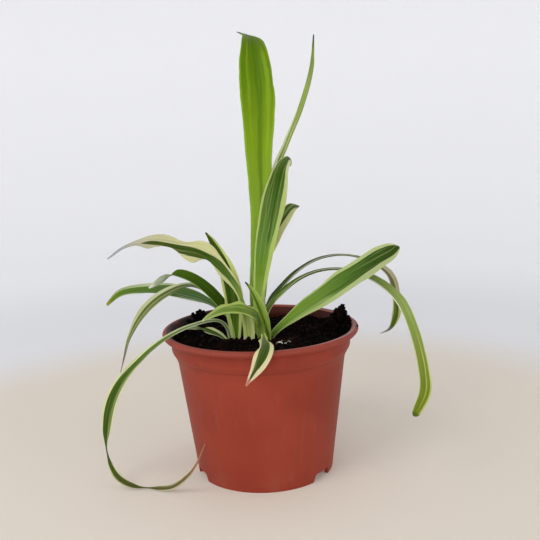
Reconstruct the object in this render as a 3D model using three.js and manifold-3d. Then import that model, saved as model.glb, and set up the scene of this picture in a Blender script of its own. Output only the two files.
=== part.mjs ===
// Potted spider plant: arching strap leaves with cream margins in a small plastic nursery pot.
// Millimetres, +Z up. The origin is on the ground under the middle of the pot.
// -Y is the front, +X is the right-hand side seen from the front.
import * as THREE from 'three';
import { mergeVertices } from 'three/addons/utils/BufferGeometryUtils.js';
import Module from 'manifold-3d';

const wasm = await Module();
wasm.setup();

// Driving dimensions of the pot
const potHeight = 90;
const rimRadius = 60;
const rimOpeningRadius = 56;
const rimDepth = 4;
const rimRounding = 2.2;
const rimBeadAngles = [-70, 0, 40, 90];
const rimDish = 0.5;
const collarRadius = 54.6;
const collarFoot = 78;
const collarDraft = 0.3;
const stepRadius = 52.8;
const stepHeight = 75.5;
const wallTopRadius = 51.2;
const wallTopHeight = 71.5;
const baseRadius = 42;
const wall = 1.2;
const footWidth = 2.2;
const floorTop = 7.5;
const floorBottom = 6;
const bendShift = 0.5;
const potSides = 48;

// Notches in the foot, seen from above: angles from the front towards +X
const notchAngles = [-66.5, 53.5, 173.5];
const notchHeight = 5;
const notchHalfWidth = 8.5;
const notchSlant = 2;
const notchRounding = 1.4;
const cutDepth = 1;
const notchReach = 8;

// Drain holes in the raised floor
const drainCount = 5;
const drainRadius = 4;
const drainCircle = 24;
const drainSides = 12;

// Inside of the wall from the floor up to the rim: radius and height of each bend
const wallLean = (wallTopRadius - baseRadius) / wallTopHeight;
const innerBends = [
  [baseRadius + wallLean * floorTop - wall, floorTop],
  [wallTopRadius - wall, wallTopHeight - bendShift],
  [collarRadius - collarDraft - wall, collarFoot + bendShift],
  [collarRadius - wall, potHeight - rimDepth - wall],
];

// Soil
const fitGap = 0.3;
const soilLevel = 82;
const soilRings = 8;
const soilHeaps = [
  { x: 46, y: 15, height: 13, spread: 8 },
  { x: -37, y: 30, height: 11, spread: 8 },
  { x: -45, y: 14, height: 4, spread: 9 },
  { x: 24, y: 36, height: 3, spread: 12 },
  { x: 30, y: -24, height: -2, spread: 16 },
  { x: -28, y: -30, height: -3, spread: 15 },
];
const soilEdgeTop = 86;
const soilRoughness = 0.8;
const soilLumps = [
  { x: 0.41, y: 0.37, start: 1.3 },
  { x: 0.23, y: -0.52, start: 0 },
  { x: -0.15, y: 0.31, start: 2.1 },
];
const holeHeight = 20;

// Crown: three short shoots grown together, with thick roots
const crownTop = 81;
const crownBottom = 66;
const crownLobes = [
  { x: -14, y: 1.5, radius: 10.5 },
  { x: 3, y: 1, radius: 12.5 },
  { x: -7, y: -4.5, radius: 8 },
];
const crownSides = 24;
const crownTaper = 0.6;
const roots = [
  { lean: 20, turn: 250, length: 34, radius: 3.2 },
  { lean: 35, turn: 330, length: 40, radius: 2.8 },
  { lean: 30, turn: 60, length: 36, radius: 3.4 },
  { lean: 38, turn: 150, length: 38, radius: 3 },
  { lean: 12, turn: 200, length: 44, radius: 3.6 },
];
const rootStart = crownBottom + 6;
const rootNeck = 0.75;
const rootBelly = 0.5;
const rootTaper = 0.6;
const rootSides = 6;
const rootSteps = 4;

// Leaf blades
const bladeThickness = 0.7;
const footThickness = 1.1;
const footLevel = crownTop + 0.4;
const footShare = 0.15;
const ribSoftness = 1.25;
const channelMiddle = 0.45;
const openBy = 0.35;
const closeFrom = 0.6;
const ruffleSwell = 0.7;
const outlook = new THREE.Vector3(0, -1, 1).normalize();

// Each leaf: knots along the middle of its blade [x, y, z, roll, half width], foot first.
// With no roll, the upper face looks forward and up as far as the blade's direction lets it.
// folds are the channel angles at the foot, the middle and the tip, in degrees.
// waves are the ruffled margins: how far they rise and flare, how many there are along the length,
// and where they start on the left and the right margin, in turns.
const leafDefaults = {
  folds: [50, 14, 24],
  waves: { height: 0, flare: 0, count: 3, phases: [0, 0] },
  strips: 4,
  step: 7.5,
};

const leaves = {
  leaf_tall: {
    knots: [
      [-4, 9.6, 81.4, 0, 4], [-0.8, 10, 106, 0, 6.3], [2.7, 10.5, 153, 0, 6.4], [3.2, 12, 196, 0, 8.4],
      [3.8, 15, 230, 0, 11], [2.8, 19.5, 247.5, 0, 10], [2, 24.5, 257.5, 12, 7.8],
      [0.5, 31, 263.6, 35, 6.4], [-3.5, 36.5, 266.2, 40, 3], [-8, 40, 268.5, 40, 0.5],
    ],
    folds: [48, 15, 15],
  },
  leaf_centre: {
    knots: [
      [-3.2, 2, 81.4, 0, 3], [-2, 1, 96, 0, 3.2], [0.8, 0, 114, 0, 4], [4, -2, 134, 0, 5.8],
      [8, -3.5, 153, 0, 7.3], [12, -5, 171, 5, 7], [17, -6, 187, 10, 4.8], [21, -2, 190.5, 20, 3],
      [22, 3, 186, 30, 0.6],
    ],
    folds: [52, 24, 20],
  },
  leaf_slender: {
    knots: [
      [2.6, 11.6, 81.4, 0, 1.8], [2.2, 15, 95, 0, 2.4], [2, 17, 112, 0, 2.8], [6.5, 17.5, 146, 0, 3.4],
      [13, 16, 182, 0, 3.6], [20.3, 15.5, 199, 0, 3.2], [30, 14, 221, 0, 2.6], [36.4, 14, 242, 0, 2],
      [38.4, 14, 262.5, 0, 0.4],
    ],
    folds: [55, 48, 50],
    strips: 2,
  },
  leaf_short_back: {
    knots: [
      [1.5, 5.6, 81.4, 0, 2.2], [1.2, 5.2, 104, 0, 2.6], [3.5, 4, 126, 0, 3], [10, 3.5, 143, 0, 5.6],
      [16.5, 4, 154, 0, 6], [22, 5.5, 160.5, 0, 4.3], [26.5, 8, 161.5, 0, 0.6],
    ],
    folds: [52, 30, 35],
  },
  leaf_left_arch: {
    knots: [
      [-7, -8, 81.4, 0, 4.6], [-7.2, -8, 92, 0, 4.8], [-10.5, -8, 108, 0, 3.5], [-17.2, -8, 121.2, -4, 3.9],
      [-24, -8.5, 132.2, -10, 5], [-32.6, -9, 138.9, -18, 5.7], [-46, -11, 142.2, -20, 5.8],
      [-63, -14, 145.6, -8, 3.9], [-76, -16, 144.2, 0, 1.4], [-87, -18, 137.5, 0, 0.5],
    ],
    folds: [34, 14, 24],
    waves: { height: 0.6, flare: 0.2, count: 4.5, phases: [0.55, 0.89] },
    step: 6,
  },
  leaf_left_rear: {
    knots: [
      [-14.5, -4, 81.4, 0, 3.4], [-14.5, -4, 92, 0, 4.6], [-14.5, -4, 105, 0, 6.4],
      [-17, -3, 119, 0, 5.6], [-21, -0.5, 132, 0, 4.2], [-26.5, 3, 142, 0, 2.8], [-31, 5, 148, 0, 0.6],
    ],
    folds: [48, 18, 26],
  },
  leaf_left_dark: {
    knots: [
      [-11, 3, 81.4, 0, 2.6], [-14, 3, 91, 0, 3], [-22.5, 3, 103, 0, 3.6], [-31.5, 3, 113.5, 0, 3.7],
      [-40.5, 3.5, 120.5, 0, 3.5], [-49, 4, 123.5, 5, 3.1], [-55.5, 5, 122, 80, 2.4],
      [-61.5, 6, 118.5, 145, 2.1], [-68, 7, 114.5, 160, 0.6],
    ],
    step: 6,
  },
  leaf_left_low: {
    knots: [
      [-10.5, 10, 81.4, 0, 2.4], [-14, 11, 88.6, 0, 2.6], [-22, 12.5, 95.8, 0, 2.9],
      [-34.5, 13.5, 104.4, 0, 3.7], [-50, 15, 109.6, 0, 4.6], [-68.5, 15, 112.4, 0, 3.8],
      [-86, 14, 110.8, 0, 2.7], [-96, 14, 103, 0, 1],
    ],
  },
  leaf_left_narrow: {
    knots: [
      [-13.5, 6.5, 81.4, 0, 1.8], [-18, 7.2, 92, 0, 1.8], [-29.2, 9.5, 108, 0, 2],
      [-42.5, 8, 115.1, 0, 2.8], [-55.3, 4, 112.4, 0, 3.8], [-68.7, -2, 103.5, 0, 3.7],
      [-79.4, -7, 87.6, 0, 2.3], [-83, -9, 76, 0, 1.4], [-85.6, -11, 66.5, 0, 0.5],
    ],
    folds: [50, 28, 20],
    strips: 2,
    step: 6.5,
  },
  leaf_left_trailing: {
    knots: [
      [-18.5, 1, 81.4, 0, 2], [-20, 0.5, 88, 0, 1.8], [-25, -4, 94.5, 0, 1.6], [-39, -18, 96.2, 0, 1.5],
      [-55, -33, 92, 0, 1.7], [-67.6, -35, 82.6, 0, 2.9], [-81.6, -32, 67.4, 0, 4.2],
      [-88.7, -30, 54.4, 0, 4.4], [-92.8, -28, 38, 5, 3.3], [-93.8, -28, 23.5, 35, 1.7],
      [-88.5, -30, 9, 0, 1.8],
      [-79, -32, 3.2, -25, 1.5], [-67, -33, 1.7, -35, 1.4], [-56, -36, 3, -25, 1.4],
      [-46.5, -42, 11, 0, 1.4], [-39.5, -47, 21, 0, 1.2], [-33, -52, 36, 0, 0.5],
    ],
    folds: [45, 16, 12],
    strips: 2,
    step: 6.5,
  },
  leaf_left_soil: {
    knots: [
      [-20, -3, 81.4, 0, 1.2], [-25, -1, 85.2, 0, 2], [-32, 3, 87.2, 0, 2.3], [-39, 6.5, 88, 20, 1.6],
      [-50, 5, 88.2, 20, 0.6],
    ],
    strips: 2,
    step: 6,
  },
  leaf_front_arch: {
    knots: [
      [0, -3, 81.4, 0, 2.8], [0.2, -5, 91, 0, 3], [-1.4, -9.5, 97.5, 0, 3.4], [-6, -14, 102.3, 0, 4.1],
      [-13, -17.5, 105.2, 0, 4.1], [-22, -20.5, 104.8, 0, 3.3], [-28.5, -22, 102.3, 0, 2.1],
      [-33.5, -23, 99.5, 0, 0.6],
    ],
    waves: { height: 0.4, flare: 0.12, count: 5, phases: [0.1, 0.4] },
    step: 6,
  },
  leaf_spike: {
    knots: [
      [5, -5.5, 81.4, 0, 2.6], [4, -8.5, 91, 0, 3.6], [2, -11.5, 99, 0, 4.4], [-0.5, -14, 107, 0, 4.2],
      [-4, -16, 115, 0, 2.8], [-7.6, -18, 121, 0, 0.5],
    ],
    folds: [58, 55, 55],
    strips: 2,
  },
  leaf_front_drape: {
    knots: [
      [1.5, -10, 81.4, 0, 1.6], [1.5, -13.5, 87, 0, 1.4], [2, -24, 90.5, 0, 1.4], [2.6, -40, 91.8, 0, 2.2],
      [3.3, -53, 92.4, 0, 3.8], [2.3, -61.5, 89.8, 0, 4.8], [-2, -65.5, 82, 0, 3.6], [-8, -65.5, 73, 0, 0.6],
    ],
    waves: { height: 0.4, flare: 0.14, count: 4, phases: [0.6, 0.2] },
    step: 6,
  },
  leaf_right_broad: {
    knots: [
      [6, -1, 81.4, 0, 2.4], [10, -3, 86.5, 0, 2.9], [19.6, -6, 95.4, 0, 4.1], [34.6, -12, 107.2, 0, 6.6],
      [49.4, -18, 118.4, 0, 8.3], [60.2, -23, 126.6, 0, 8.4], [69.2, -27, 132.8, 0, 7.8],
      [76.4, -30, 137, 0, 6.4], [80.6, -32, 140.2, 0, 2.8],
    ],
    waves: { height: 0.4, flare: 0.05, count: 3.5, phases: [0.2, 0.6] },
  },
  leaf_right_arch: {
    knots: [
      [4.4, 7.4, 81.4, 0, 1.8], [4.2, 7.2, 96, -10, 2], [7.4, 9.2, 104, -20, 2.4],
      [12.7, 13, 109.5, -30, 2.6],
      [24.5, 20, 119.5, -44, 2.9], [38, 28, 125.2, -46, 3.1], [53, 37, 126, -46, 3.2],
      [66, 45, 122.6, -35, 3.4], [80, 52, 115, -15, 3.5], [89, 58, 106, 0, 3.2], [93.5, 62.5, 92, 0, 2.7],
      [93.5, 64.5, 76, 0, 2.6], [89, 63.5, 68, 0, 1.6], [82, 61, 65.5, 0, 0.5],
    ],
    folds: [50, 13, 24],
    strips: 2,
  },
  leaf_right_hanging: {
    knots: [
      [3.4, 2.6, 81.4, 0, 1.8], [3.6, 2.6, 95, 0, 2], [8.2, 3, 103.3, -15, 2.4], [14, 3.5, 109.3, -28, 2.7],
      [24, 4, 117, -44, 2.9], [36, 2, 122.2, -48, 3.1], [50, -4, 124, -42, 3.3],
      [67.5, -16, 120, -5, 3.2], [81, -26, 109, 0, 3.5], [88.5, -33, 91, 0, 3.4],
      [92.5, -38, 70.5, 0, 3.2], [92.5, -41, 58, 0, 3.1], [86, -43, 44, 0, 1.8],
    ],
    folds: [50, 13, 20],
    strips: 2,
  },
};

// Colours of the pieces
const colours = {
  pot: { color: 0x9a4434, roughness: 0.45 },
  soil: { color: 0x1c100a, roughness: 1 },
  crown: { color: 0xc9cf9c, roughness: 0.6 },
  leaf: { color: 0x5f8a35, roughness: 0.45 },
};

// Helpers for solids

function solidOf(geometry) {
  const bare = geometry.clone();
  bare.deleteAttribute('normal');
  bare.deleteAttribute('uv');
  const welded = mergeVertices(bare);
  return new wasm.Manifold(new wasm.Mesh({
    numProp: 3,
    vertProperties: new Float32Array(welded.attributes.position.array),
    triVerts: new Uint32Array(welded.index.array),
  }));
}

function geometryOf(solid) {
  const mesh = solid.getMesh();
  const geometry = new THREE.BufferGeometry();
  geometry.setAttribute('position', new THREE.BufferAttribute(mesh.vertProperties, 3));
  geometry.setIndex(new THREE.BufferAttribute(mesh.triVerts, 1));
  geometry.computeVertexNormals();
  return geometry;
}

function closedMesh(points, faces) {
  const geometry = new THREE.BufferGeometry();
  geometry.setAttribute('position', new THREE.Float32BufferAttribute(points.flat(), 3));
  geometry.setIndex(faces.flat());
  geometry.computeVertexNormals();
  return geometry;
}

function standUp(geometry) {
  return geometry.rotateX(Math.PI / 2);
}

function named(name, geometry, look) {
  const material = new THREE.MeshStandardMaterial({ ...look, metalness: 0 });
  const mesh = new THREE.Mesh(geometry, material);
  mesh.name = name;
  return mesh;
}

// Pot: one wall turned round the axis, with a rolled rim, a collar, a raised floor and a notched foot

function potProfile() {
  const beadMiddle = potHeight - rimDepth / 2;
  const bead = rimBeadAngles.map((angle) => {
    const turn = THREE.MathUtils.degToRad(angle);
    const radius = rimRadius - rimRounding * (1 - Math.cos(turn));
    return [radius, beadMiddle + (rimDepth / 2) * Math.sin(turn)];
  });
  return [
    [0, floorBottom],
    [baseRadius - footWidth, floorBottom],
    [baseRadius - footWidth, 0],
    [baseRadius, 0],
    [wallTopRadius, wallTopHeight],
    [stepRadius, stepHeight],
    [collarRadius, collarFoot],
    [collarRadius + collarDraft, potHeight - rimDepth - collarDraft],
    ...bead,
    [rimOpeningRadius, potHeight - rimDish],
    ...innerBends.toReversed(),
    [0, floorTop],
  ];
}

function notchCutter(angle) {
  const outline = new THREE.Shape();
  const top = notchHalfWidth - notchSlant;
  const shoulder = top + (notchSlant * notchRounding) / notchHeight;
  outline.moveTo(-notchHalfWidth, -cutDepth);
  outline.lineTo(notchHalfWidth, -cutDepth);
  outline.lineTo(shoulder, notchHeight - notchRounding);
  outline.quadraticCurveTo(top, notchHeight, top - notchRounding, notchHeight);
  outline.lineTo(notchRounding - top, notchHeight);
  outline.quadraticCurveTo(-top, notchHeight, -shoulder, notchHeight - notchRounding);
  outline.closePath();
  const cutter = new THREE.ExtrudeGeometry(outline, {
    depth: notchReach, bevelEnabled: false, curveSegments: 3,
  });
  standUp(cutter).translate(0, -baseRadius + notchReach / 2, 0);
  return cutter.rotateZ(THREE.MathUtils.degToRad(angle));
}

function buildPot() {
  const points = potProfile().map(([radius, height]) => new THREE.Vector2(radius, height));
  let solid = solidOf(standUp(new THREE.LatheGeometry(points, potSides)));
  for (const angle of notchAngles) {
    solid = solid.subtract(solidOf(notchCutter(angle)));
  }
  for (let hole = 0; hole < drainCount; hole += 1) {
    const turn = (hole / drainCount) * 2 * Math.PI;
    const drill = standUp(new THREE.CylinderGeometry(drainRadius, drainRadius, floorTop, drainSides));
    const middle = (floorTop + floorBottom) / 2;
    drill.translate(drainCircle * Math.cos(turn), drainCircle * Math.sin(turn), middle);
    solid = solid.subtract(solidOf(drill));
  }
  return geometryOf(solid);
}

// Crown and roots, a little fatter by `grow` when they are the tool that makes their hole in the soil

function crownSolid(grow) {
  const height = crownTop - crownBottom;
  let solid = null;
  for (const lobe of crownLobes) {
    const stem = standUp(new THREE.CylinderGeometry(
      lobe.radius + grow, lobe.radius * crownTaper + grow, height + grow, crownSides,
    ));
    stem.translate(lobe.x, lobe.y, (crownTop + crownBottom - grow) / 2);
    solid = solid ? solid.add(solidOf(stem)) : solidOf(stem);
  }
  for (const root of roots) {
    solid = solid.add(solidOf(rootGeometry(root, grow)));
  }
  return solid;
}

function rootGeometry(root, grow) {
  const length = root.length + grow;
  const profile = [new THREE.Vector2(0, 0)];
  for (let step = 0; step <= rootSteps; step += 1) {
    const share = step / rootSteps;
    const swelling = rootNeck + rootBelly * Math.sin(Math.PI * share);
    const radius = root.radius * swelling * (1 - rootTaper * share * share) + grow;
    profile.push(new THREE.Vector2(radius, length * share));
  }
  profile.push(new THREE.Vector2(0, length));
  const body = new THREE.LatheGeometry(profile, rootSides);
  body.rotateX(-Math.PI / 2);
  body.rotateY(THREE.MathUtils.degToRad(root.lean));
  body.rotateZ(THREE.MathUtils.degToRad(root.turn));
  const lobe = Math.cos(THREE.MathUtils.degToRad(root.turn)) < 0 ? crownLobes[0] : crownLobes[1];
  return body.translate(lobe.x, lobe.y, rootStart);
}

// Soil: a body of revolution that fills the pot, with a heaped top and a hole for the crown

function innerRadius(height) {
  for (let index = 1; index < innerBends.length; index += 1) {
    const [lowRadius, low] = innerBends[index - 1];
    const [highRadius, high] = innerBends[index];
    if (height <= high) {
      return THREE.MathUtils.mapLinear(height, low, high, lowRadius, highRadius);
    }
  }
  return collarRadius - wall;
}

function soilHeight(x, y) {
  let height = soilLevel;
  for (const heap of soilHeaps) {
    const away = Math.hypot(x - heap.x, y - heap.y) / heap.spread;
    height += heap.height * Math.exp(-away * away);
  }
  for (const lump of soilLumps) {
    height += soilRoughness * Math.sin(lump.x * x + lump.y * y + lump.start);
  }
  return height;
}

function buildSoil() {
  const points = [];
  const rows = [];
  const addRow = (radiusOf, heightOf) => {
    const row = [];
    for (let side = 0; side < potSides; side += 1) {
      const turn = (side / potSides) * 2 * Math.PI;
      const radius = radiusOf(turn);
      const x = radius * Math.sin(turn);
      const y = radius * Math.cos(turn);
      row.push(points.length);
      points.push([x, y, heightOf(x, y)]);
    }
    rows.push(row);
  };
  const low = floorTop + fitGap;
  const bend = wallTopHeight - bendShift;
  addRow(() => innerRadius(low) - fitGap, () => low);
  addRow(() => innerRadius(bend) - fitGap, () => bend);
  const edgeRadius = innerRadius(collarFoot + bendShift) - fitGap;
  addRow(() => edgeRadius, () => collarFoot + bendShift);
  for (let ring = soilRings; ring >= 1; ring -= 1) {
    const radius = edgeRadius * (ring / soilRings);
    const limit = ring === soilRings ? soilEdgeTop : Infinity;
    addRow(() => radius, (x, y) => Math.min(limit, soilHeight(x, y)));
  }
  const faces = [];
  for (let index = 1; index < rows.length; index += 1) {
    for (let side = 0; side < potSides; side += 1) {
      const next = (side + 1) % potSides;
      const [a, b] = [rows[index - 1][side], rows[index - 1][next]];
      const [c, d] = [rows[index][next], rows[index][side]];
      faces.push([a, c, b], [a, d, c]);
    }
  }
  const bottom = points.push([0, 0, low]) - 1;
  const top = points.push([0, 0, soilHeight(0, 0)]) - 1;
  const last = rows[rows.length - 1];
  for (let side = 0; side < potSides; side += 1) {
    const next = (side + 1) % potSides;
    faces.push([bottom, rows[0][side], rows[0][next]]);
    faces.push([top, last[next], last[side]]);
  }
  const heaped = solidOf(closedMesh(points, faces));
  let hole = crownSolid(fitGap);
  for (const lobe of crownLobes) {
    const shaft = standUp(new THREE.CylinderGeometry(
      lobe.radius + fitGap, lobe.radius + fitGap, holeHeight, crownSides,
    ));
    shaft.translate(lobe.x, lobe.y, crownTop - fitGap + holeHeight / 2);
    hole = hole.add(solidOf(shaft));
  }
  return geometryOf(heaped.subtract(hole));
}

// Leaf blades

// A number of the knots (3 the roll, 4 the half width) carried smoothly along the blade
function knotValue(leaf, curve, share, item) {
  const last = leaf.knots.length - 1;
  const along = curve.getUtoTmapping(share) * last;
  const first = Math.min(Math.floor(along), last - 1);
  const at = (index) => leaf.knots[THREE.MathUtils.clamp(index, 0, last)][item];
  const [before, start, end, after] = [at(first - 1), at(first), at(first + 1), at(first + 2)];
  const part = along - first;
  const leave = (end - before) / 2;
  const arrive = (after - start) / 2;
  return (2 * part ** 3 - 3 * part ** 2 + 1) * start + (part ** 3 - 2 * part ** 2 + part) * leave
    + (3 * part ** 2 - 2 * part ** 3) * end + (part ** 3 - part ** 2) * arrive;
}

function leafFrame(leaf, curve, share) {
  const roll = knotValue(leaf, curve, share, 3);
  const tangent = curve.getTangentAt(share);
  const face = outlook.clone().addScaledVector(tangent, -outlook.dot(tangent)).normalize();
  face.applyAxisAngle(tangent, THREE.MathUtils.degToRad(roll));
  const across = new THREE.Vector3().crossVectors(tangent, face);
  return { point: curve.getPointAt(share), tangent, face, across };
}

function foldAt(leaf, share) {
  const [foot, middle, tip] = leaf.folds;
  const opening = THREE.MathUtils.smoothstep(share, 0, openBy);
  const closing = THREE.MathUtils.smoothstep(share, closeFrom, 1);
  const degrees = foot + (middle - foot) * opening + (tip - middle) * closing;
  return THREE.MathUtils.degToRad(degrees);
}

// The ruffle of the margins runs from -1 to 1 and fades out towards the rib, the foot and the tip
function ruffleAt(leaf, share, across) {
  const { count, phases } = leaf.waves;
  const phase = across < 0 ? phases[0] : phases[1];
  const swell = Math.sin(Math.PI * share) ** ruffleSwell;
  return swell * across * across * Math.sin(2 * Math.PI * (count * share + phase));
}

// A point of the middle surface: `across` runs from -1 to 1 over the width, `share` from foot to tip
function bladePoint(leaf, curve, share, across) {
  const frame = leafFrame(leaf, curve, share);
  const half = knotValue(leaf, curve, share, 4);
  const fold = foldAt(leaf, share);
  const channel = Math.abs(across) ** ribSoftness - channelMiddle;
  const ruffle = ruffleAt(leaf, share, across);
  const lift = half * Math.sin(fold) * channel + leaf.waves.height * ruffle;
  const spread = half * across * (Math.cos(fold) + leaf.waves.flare * ruffle);
  return frame.point
    .addScaledVector(frame.across, spread)
    .addScaledVector(frame.face, lift);
}

function bladeNormal(leaf, curve, share, across) {
  const reach = 0.02;
  const left = bladePoint(leaf, curve, share, Math.max(-1, across - reach));
  const right = bladePoint(leaf, curve, share, Math.min(1, across + reach));
  const frame = leafFrame(leaf, curve, share);
  return right.sub(left).cross(frame.tangent).normalize();
}

function buildLeaf(leaf) {
  const curve = new THREE.CatmullRomCurve3(
    leaf.knots.map(([x, y, z]) => new THREE.Vector3(x, y, z)), false, 'centripetal',
  );
  const steps = Math.round(curve.getLength() / leaf.step);
  const columns = leaf.strips + 1;
  const points = [[], []];
  for (let row = 0; row <= steps; row += 1) {
    const share = row / steps;
    const thinning = THREE.MathUtils.smoothstep(share, 0, footShare);
    const thickness = THREE.MathUtils.lerp(footThickness, bladeThickness, thinning);
    for (let column = 0; column < columns; column += 1) {
      const across = (2 * column) / leaf.strips - 1;
      const middle = bladePoint(leaf, curve, share, across);
      const normal = bladeNormal(leaf, curve, share, across);
      for (const [side, sign] of [[0, 0.5], [1, -0.5]]) {
        const point = middle.clone().addScaledVector(normal, sign * thickness);
        if (row === 0) {
          const tangent = curve.getTangentAt(0);
          point.addScaledVector(tangent, (footLevel - point.z) / tangent.z);
        }
        points[side].push(point.toArray());
      }
    }
  }
  const count = points[0].length;
  const top = (row, column) => row * columns + column;
  const under = (row, column) => count + row * columns + column;
  const faces = [];
  for (let row = 0; row < steps; row += 1) {
    for (let column = 0; column < leaf.strips; column += 1) {
      faces.push([top(row, column), top(row, column + 1), top(row + 1, column + 1)]);
      faces.push([top(row, column), top(row + 1, column + 1), top(row + 1, column)]);
      faces.push([under(row, column), under(row + 1, column + 1), under(row, column + 1)]);
      faces.push([under(row, column), under(row + 1, column), under(row + 1, column + 1)]);
    }
    const last = leaf.strips;
    faces.push([top(row, 0), top(row + 1, 0), under(row, 0)]);
    faces.push([top(row + 1, 0), under(row + 1, 0), under(row, 0)]);
    faces.push([top(row, last), under(row, last), top(row + 1, last)]);
    faces.push([top(row + 1, last), under(row, last), under(row + 1, last)]);
  }
  for (let column = 0; column < leaf.strips; column += 1) {
    faces.push([top(0, column), under(0, column), top(0, column + 1)]);
    faces.push([under(0, column), under(0, column + 1), top(0, column + 1)]);
    faces.push([top(steps, column), top(steps, column + 1), under(steps, column)]);
    faces.push([under(steps, column), top(steps, column + 1), under(steps, column + 1)]);
  }
  return closedMesh([...points[0], ...points[1]], faces);
}

// The plant in its pot

const plant = new THREE.Group();
plant.add(named('pot', buildPot(), colours.pot));
plant.add(named('soil', buildSoil(), colours.soil));
plant.add(named('crown', geometryOf(crownSolid(0)), colours.crown));
for (const [name, shape] of Object.entries(leaves)) {
  plant.add(named(name, buildLeaf({ ...leafDefaults, ...shape }), colours.leaf));
}

export default plant;
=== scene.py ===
import math

import bpy
import numpy as np
from mathutils import Matrix


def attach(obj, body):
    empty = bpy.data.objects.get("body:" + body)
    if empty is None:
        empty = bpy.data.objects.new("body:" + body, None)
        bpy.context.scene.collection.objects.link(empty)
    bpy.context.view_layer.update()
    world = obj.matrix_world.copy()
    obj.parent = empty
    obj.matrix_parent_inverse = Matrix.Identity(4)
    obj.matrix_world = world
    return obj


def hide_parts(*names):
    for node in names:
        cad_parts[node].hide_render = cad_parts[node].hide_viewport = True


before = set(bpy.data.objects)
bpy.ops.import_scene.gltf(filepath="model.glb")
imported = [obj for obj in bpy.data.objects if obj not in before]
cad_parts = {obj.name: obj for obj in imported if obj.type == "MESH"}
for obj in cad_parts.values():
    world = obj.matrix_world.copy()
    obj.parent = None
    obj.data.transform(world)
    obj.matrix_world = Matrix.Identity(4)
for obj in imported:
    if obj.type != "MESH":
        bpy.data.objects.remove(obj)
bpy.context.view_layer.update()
print("frame loaded:", len(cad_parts), "solids")

# Shapes are worked out in millimetres. +X is right, -Y is the front, +Z is up.
mm = 0.001
fullTurn = 2 * math.pi


# Camera, at the photograph's viewing angle

view = {
    "lens": 53.333,        # mm on a 36 mm sensor
    "sensor": 36.0,
    "eye": (7.226, -477.014, 210.493),
    "pitch": 10.2557,      # degrees below the horizon
    "roll": -2.1952,       # degrees, the picture's right side down
}


def place(thing, right, up, back, position):
    # Puts a camera or lamp at a position in metres, looking against its `back` direction
    turn = np.eye(4)
    turn[:3, :3] = np.stack([right, up, back], axis=1)
    turn[:3, 3] = position
    thing.matrix_world = Matrix(turn.tolist())
    bpy.context.scene.collection.objects.link(thing)


def makeCamera():
    pitch, roll = math.radians(view["pitch"]), math.radians(view["roll"])
    back = np.array([0, -math.cos(pitch), math.sin(pitch)])
    level = np.array([1.0, 0, 0])
    up = np.cross(level, -back)
    right = math.cos(roll) * level + math.sin(roll) * up
    top = -math.sin(roll) * level + math.cos(roll) * up
    camera = bpy.data.objects.new("camera", bpy.data.cameras.new("camera"))
    camera.data.lens = view["lens"]
    camera.data.sensor_width = view["sensor"]
    place(camera, right, top, back, np.array(view["eye"]) * mm)
    bpy.context.scene.camera = camera


makeCamera()


# Shader helpers

def paint(red, green, blue):
    # Colour: sRGB numbers from 0 to 255 become the linear numbers that shaders take
    value = np.array([red, green, blue]) / 255
    linear = np.where(value <= 0.04045, value / 12.92, ((value + 0.055) / 1.055) ** 2.4)
    return (*linear.tolist(), 1.0)


def put(tree, socket, value):
    if isinstance(value, bpy.types.NodeSocket):
        tree.links.new(value, socket)
    else:
        socket.default_value = value


def fix(node, constants):
    for socket, value in constants.items():
        node.inputs[socket].default_value = value


def mark(tree, name, output="Fac"):
    node = tree.nodes.new("ShaderNodeAttribute")
    node.attribute_name = name
    return node.outputs[output]


def calc(tree, operation, *values):
    node = tree.nodes.new("ShaderNodeMath")
    node.operation = operation
    for socket, value in zip(node.inputs, values):
        put(tree, socket, value)
    return node.outputs[0]


def times(tree, first, second):
    return calc(tree, "MULTIPLY", first, second)


def ramp(tree, value, low, high):
    # Value: rises smoothly from 0 at the low value to 1 at the high one, and falls where low is the greater
    node = tree.nodes.new("ShaderNodeMapRange")
    node.interpolation_type = "SMOOTHSTEP"
    put(tree, node.inputs["Value"], value)
    fix(node, {"From Min": low, "From Max": high})
    return node.outputs["Result"]


def blend(tree, share, first, second):
    node = tree.nodes.new("ShaderNodeMix")
    node.data_type = "RGBA"
    for socket, value in ((0, share), (6, first), (7, second)):
        put(tree, node.inputs[socket], value)
    return node.outputs[2]


def stretch(tree, vector, scale):
    node = tree.nodes.new("ShaderNodeVectorMath")
    node.operation = "MULTIPLY"
    put(tree, node.inputs[0], vector)
    node.inputs[1].default_value = scale
    return node.outputs[0]


def noise(tree, vector, scale, detail=2.0):
    node = tree.nodes.new("ShaderNodeTexNoise")
    put(tree, node.inputs["Vector"], vector)
    fix(node, {"Scale": scale, "Detail": detail})
    return node.outputs["Fac"]


def bump(tree, height, strength, distance, under=None):
    node = tree.nodes.new("ShaderNodeBump")
    put(tree, node.inputs["Height"], height)
    fix(node, {"Strength": strength, "Distance": distance})
    if under is not None:
        put(tree, node.inputs["Normal"], under)
    return node.outputs["Normal"]


def objectPlace(tree):
    return tree.nodes.new("ShaderNodeTexCoord").outputs["Object"]


def newMaterial(name):
    material = bpy.data.materials.new(name)
    material.use_nodes = True
    return material, material.node_tree, material.node_tree.nodes["Principled BSDF"]


def dress(piece, material):
    piece.data.materials.clear()
    piece.data.materials.append(material)


# Mesh helpers

def smooth(value, low, high):
    # Value: 3t^2 - 2t^3, where t runs from 0 at the low value to 1 at the high one
    part = np.clip((value - low) / (high - low), 0, 1)
    return part * part * (3 - 2 * part)


def circle(count):
    return np.arange(count) / count * fullTurn


def addMarks(mesh, marks):
    for title, values in marks.items():
        kind, field = ("FLOAT", "value") if values.ndim == 1 else ("FLOAT_VECTOR", "vector")
        layer = mesh.attributes.new(title, kind, "POINT")
        layer.data.foreach_set(field, values.astype(np.float32).ravel())


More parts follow.
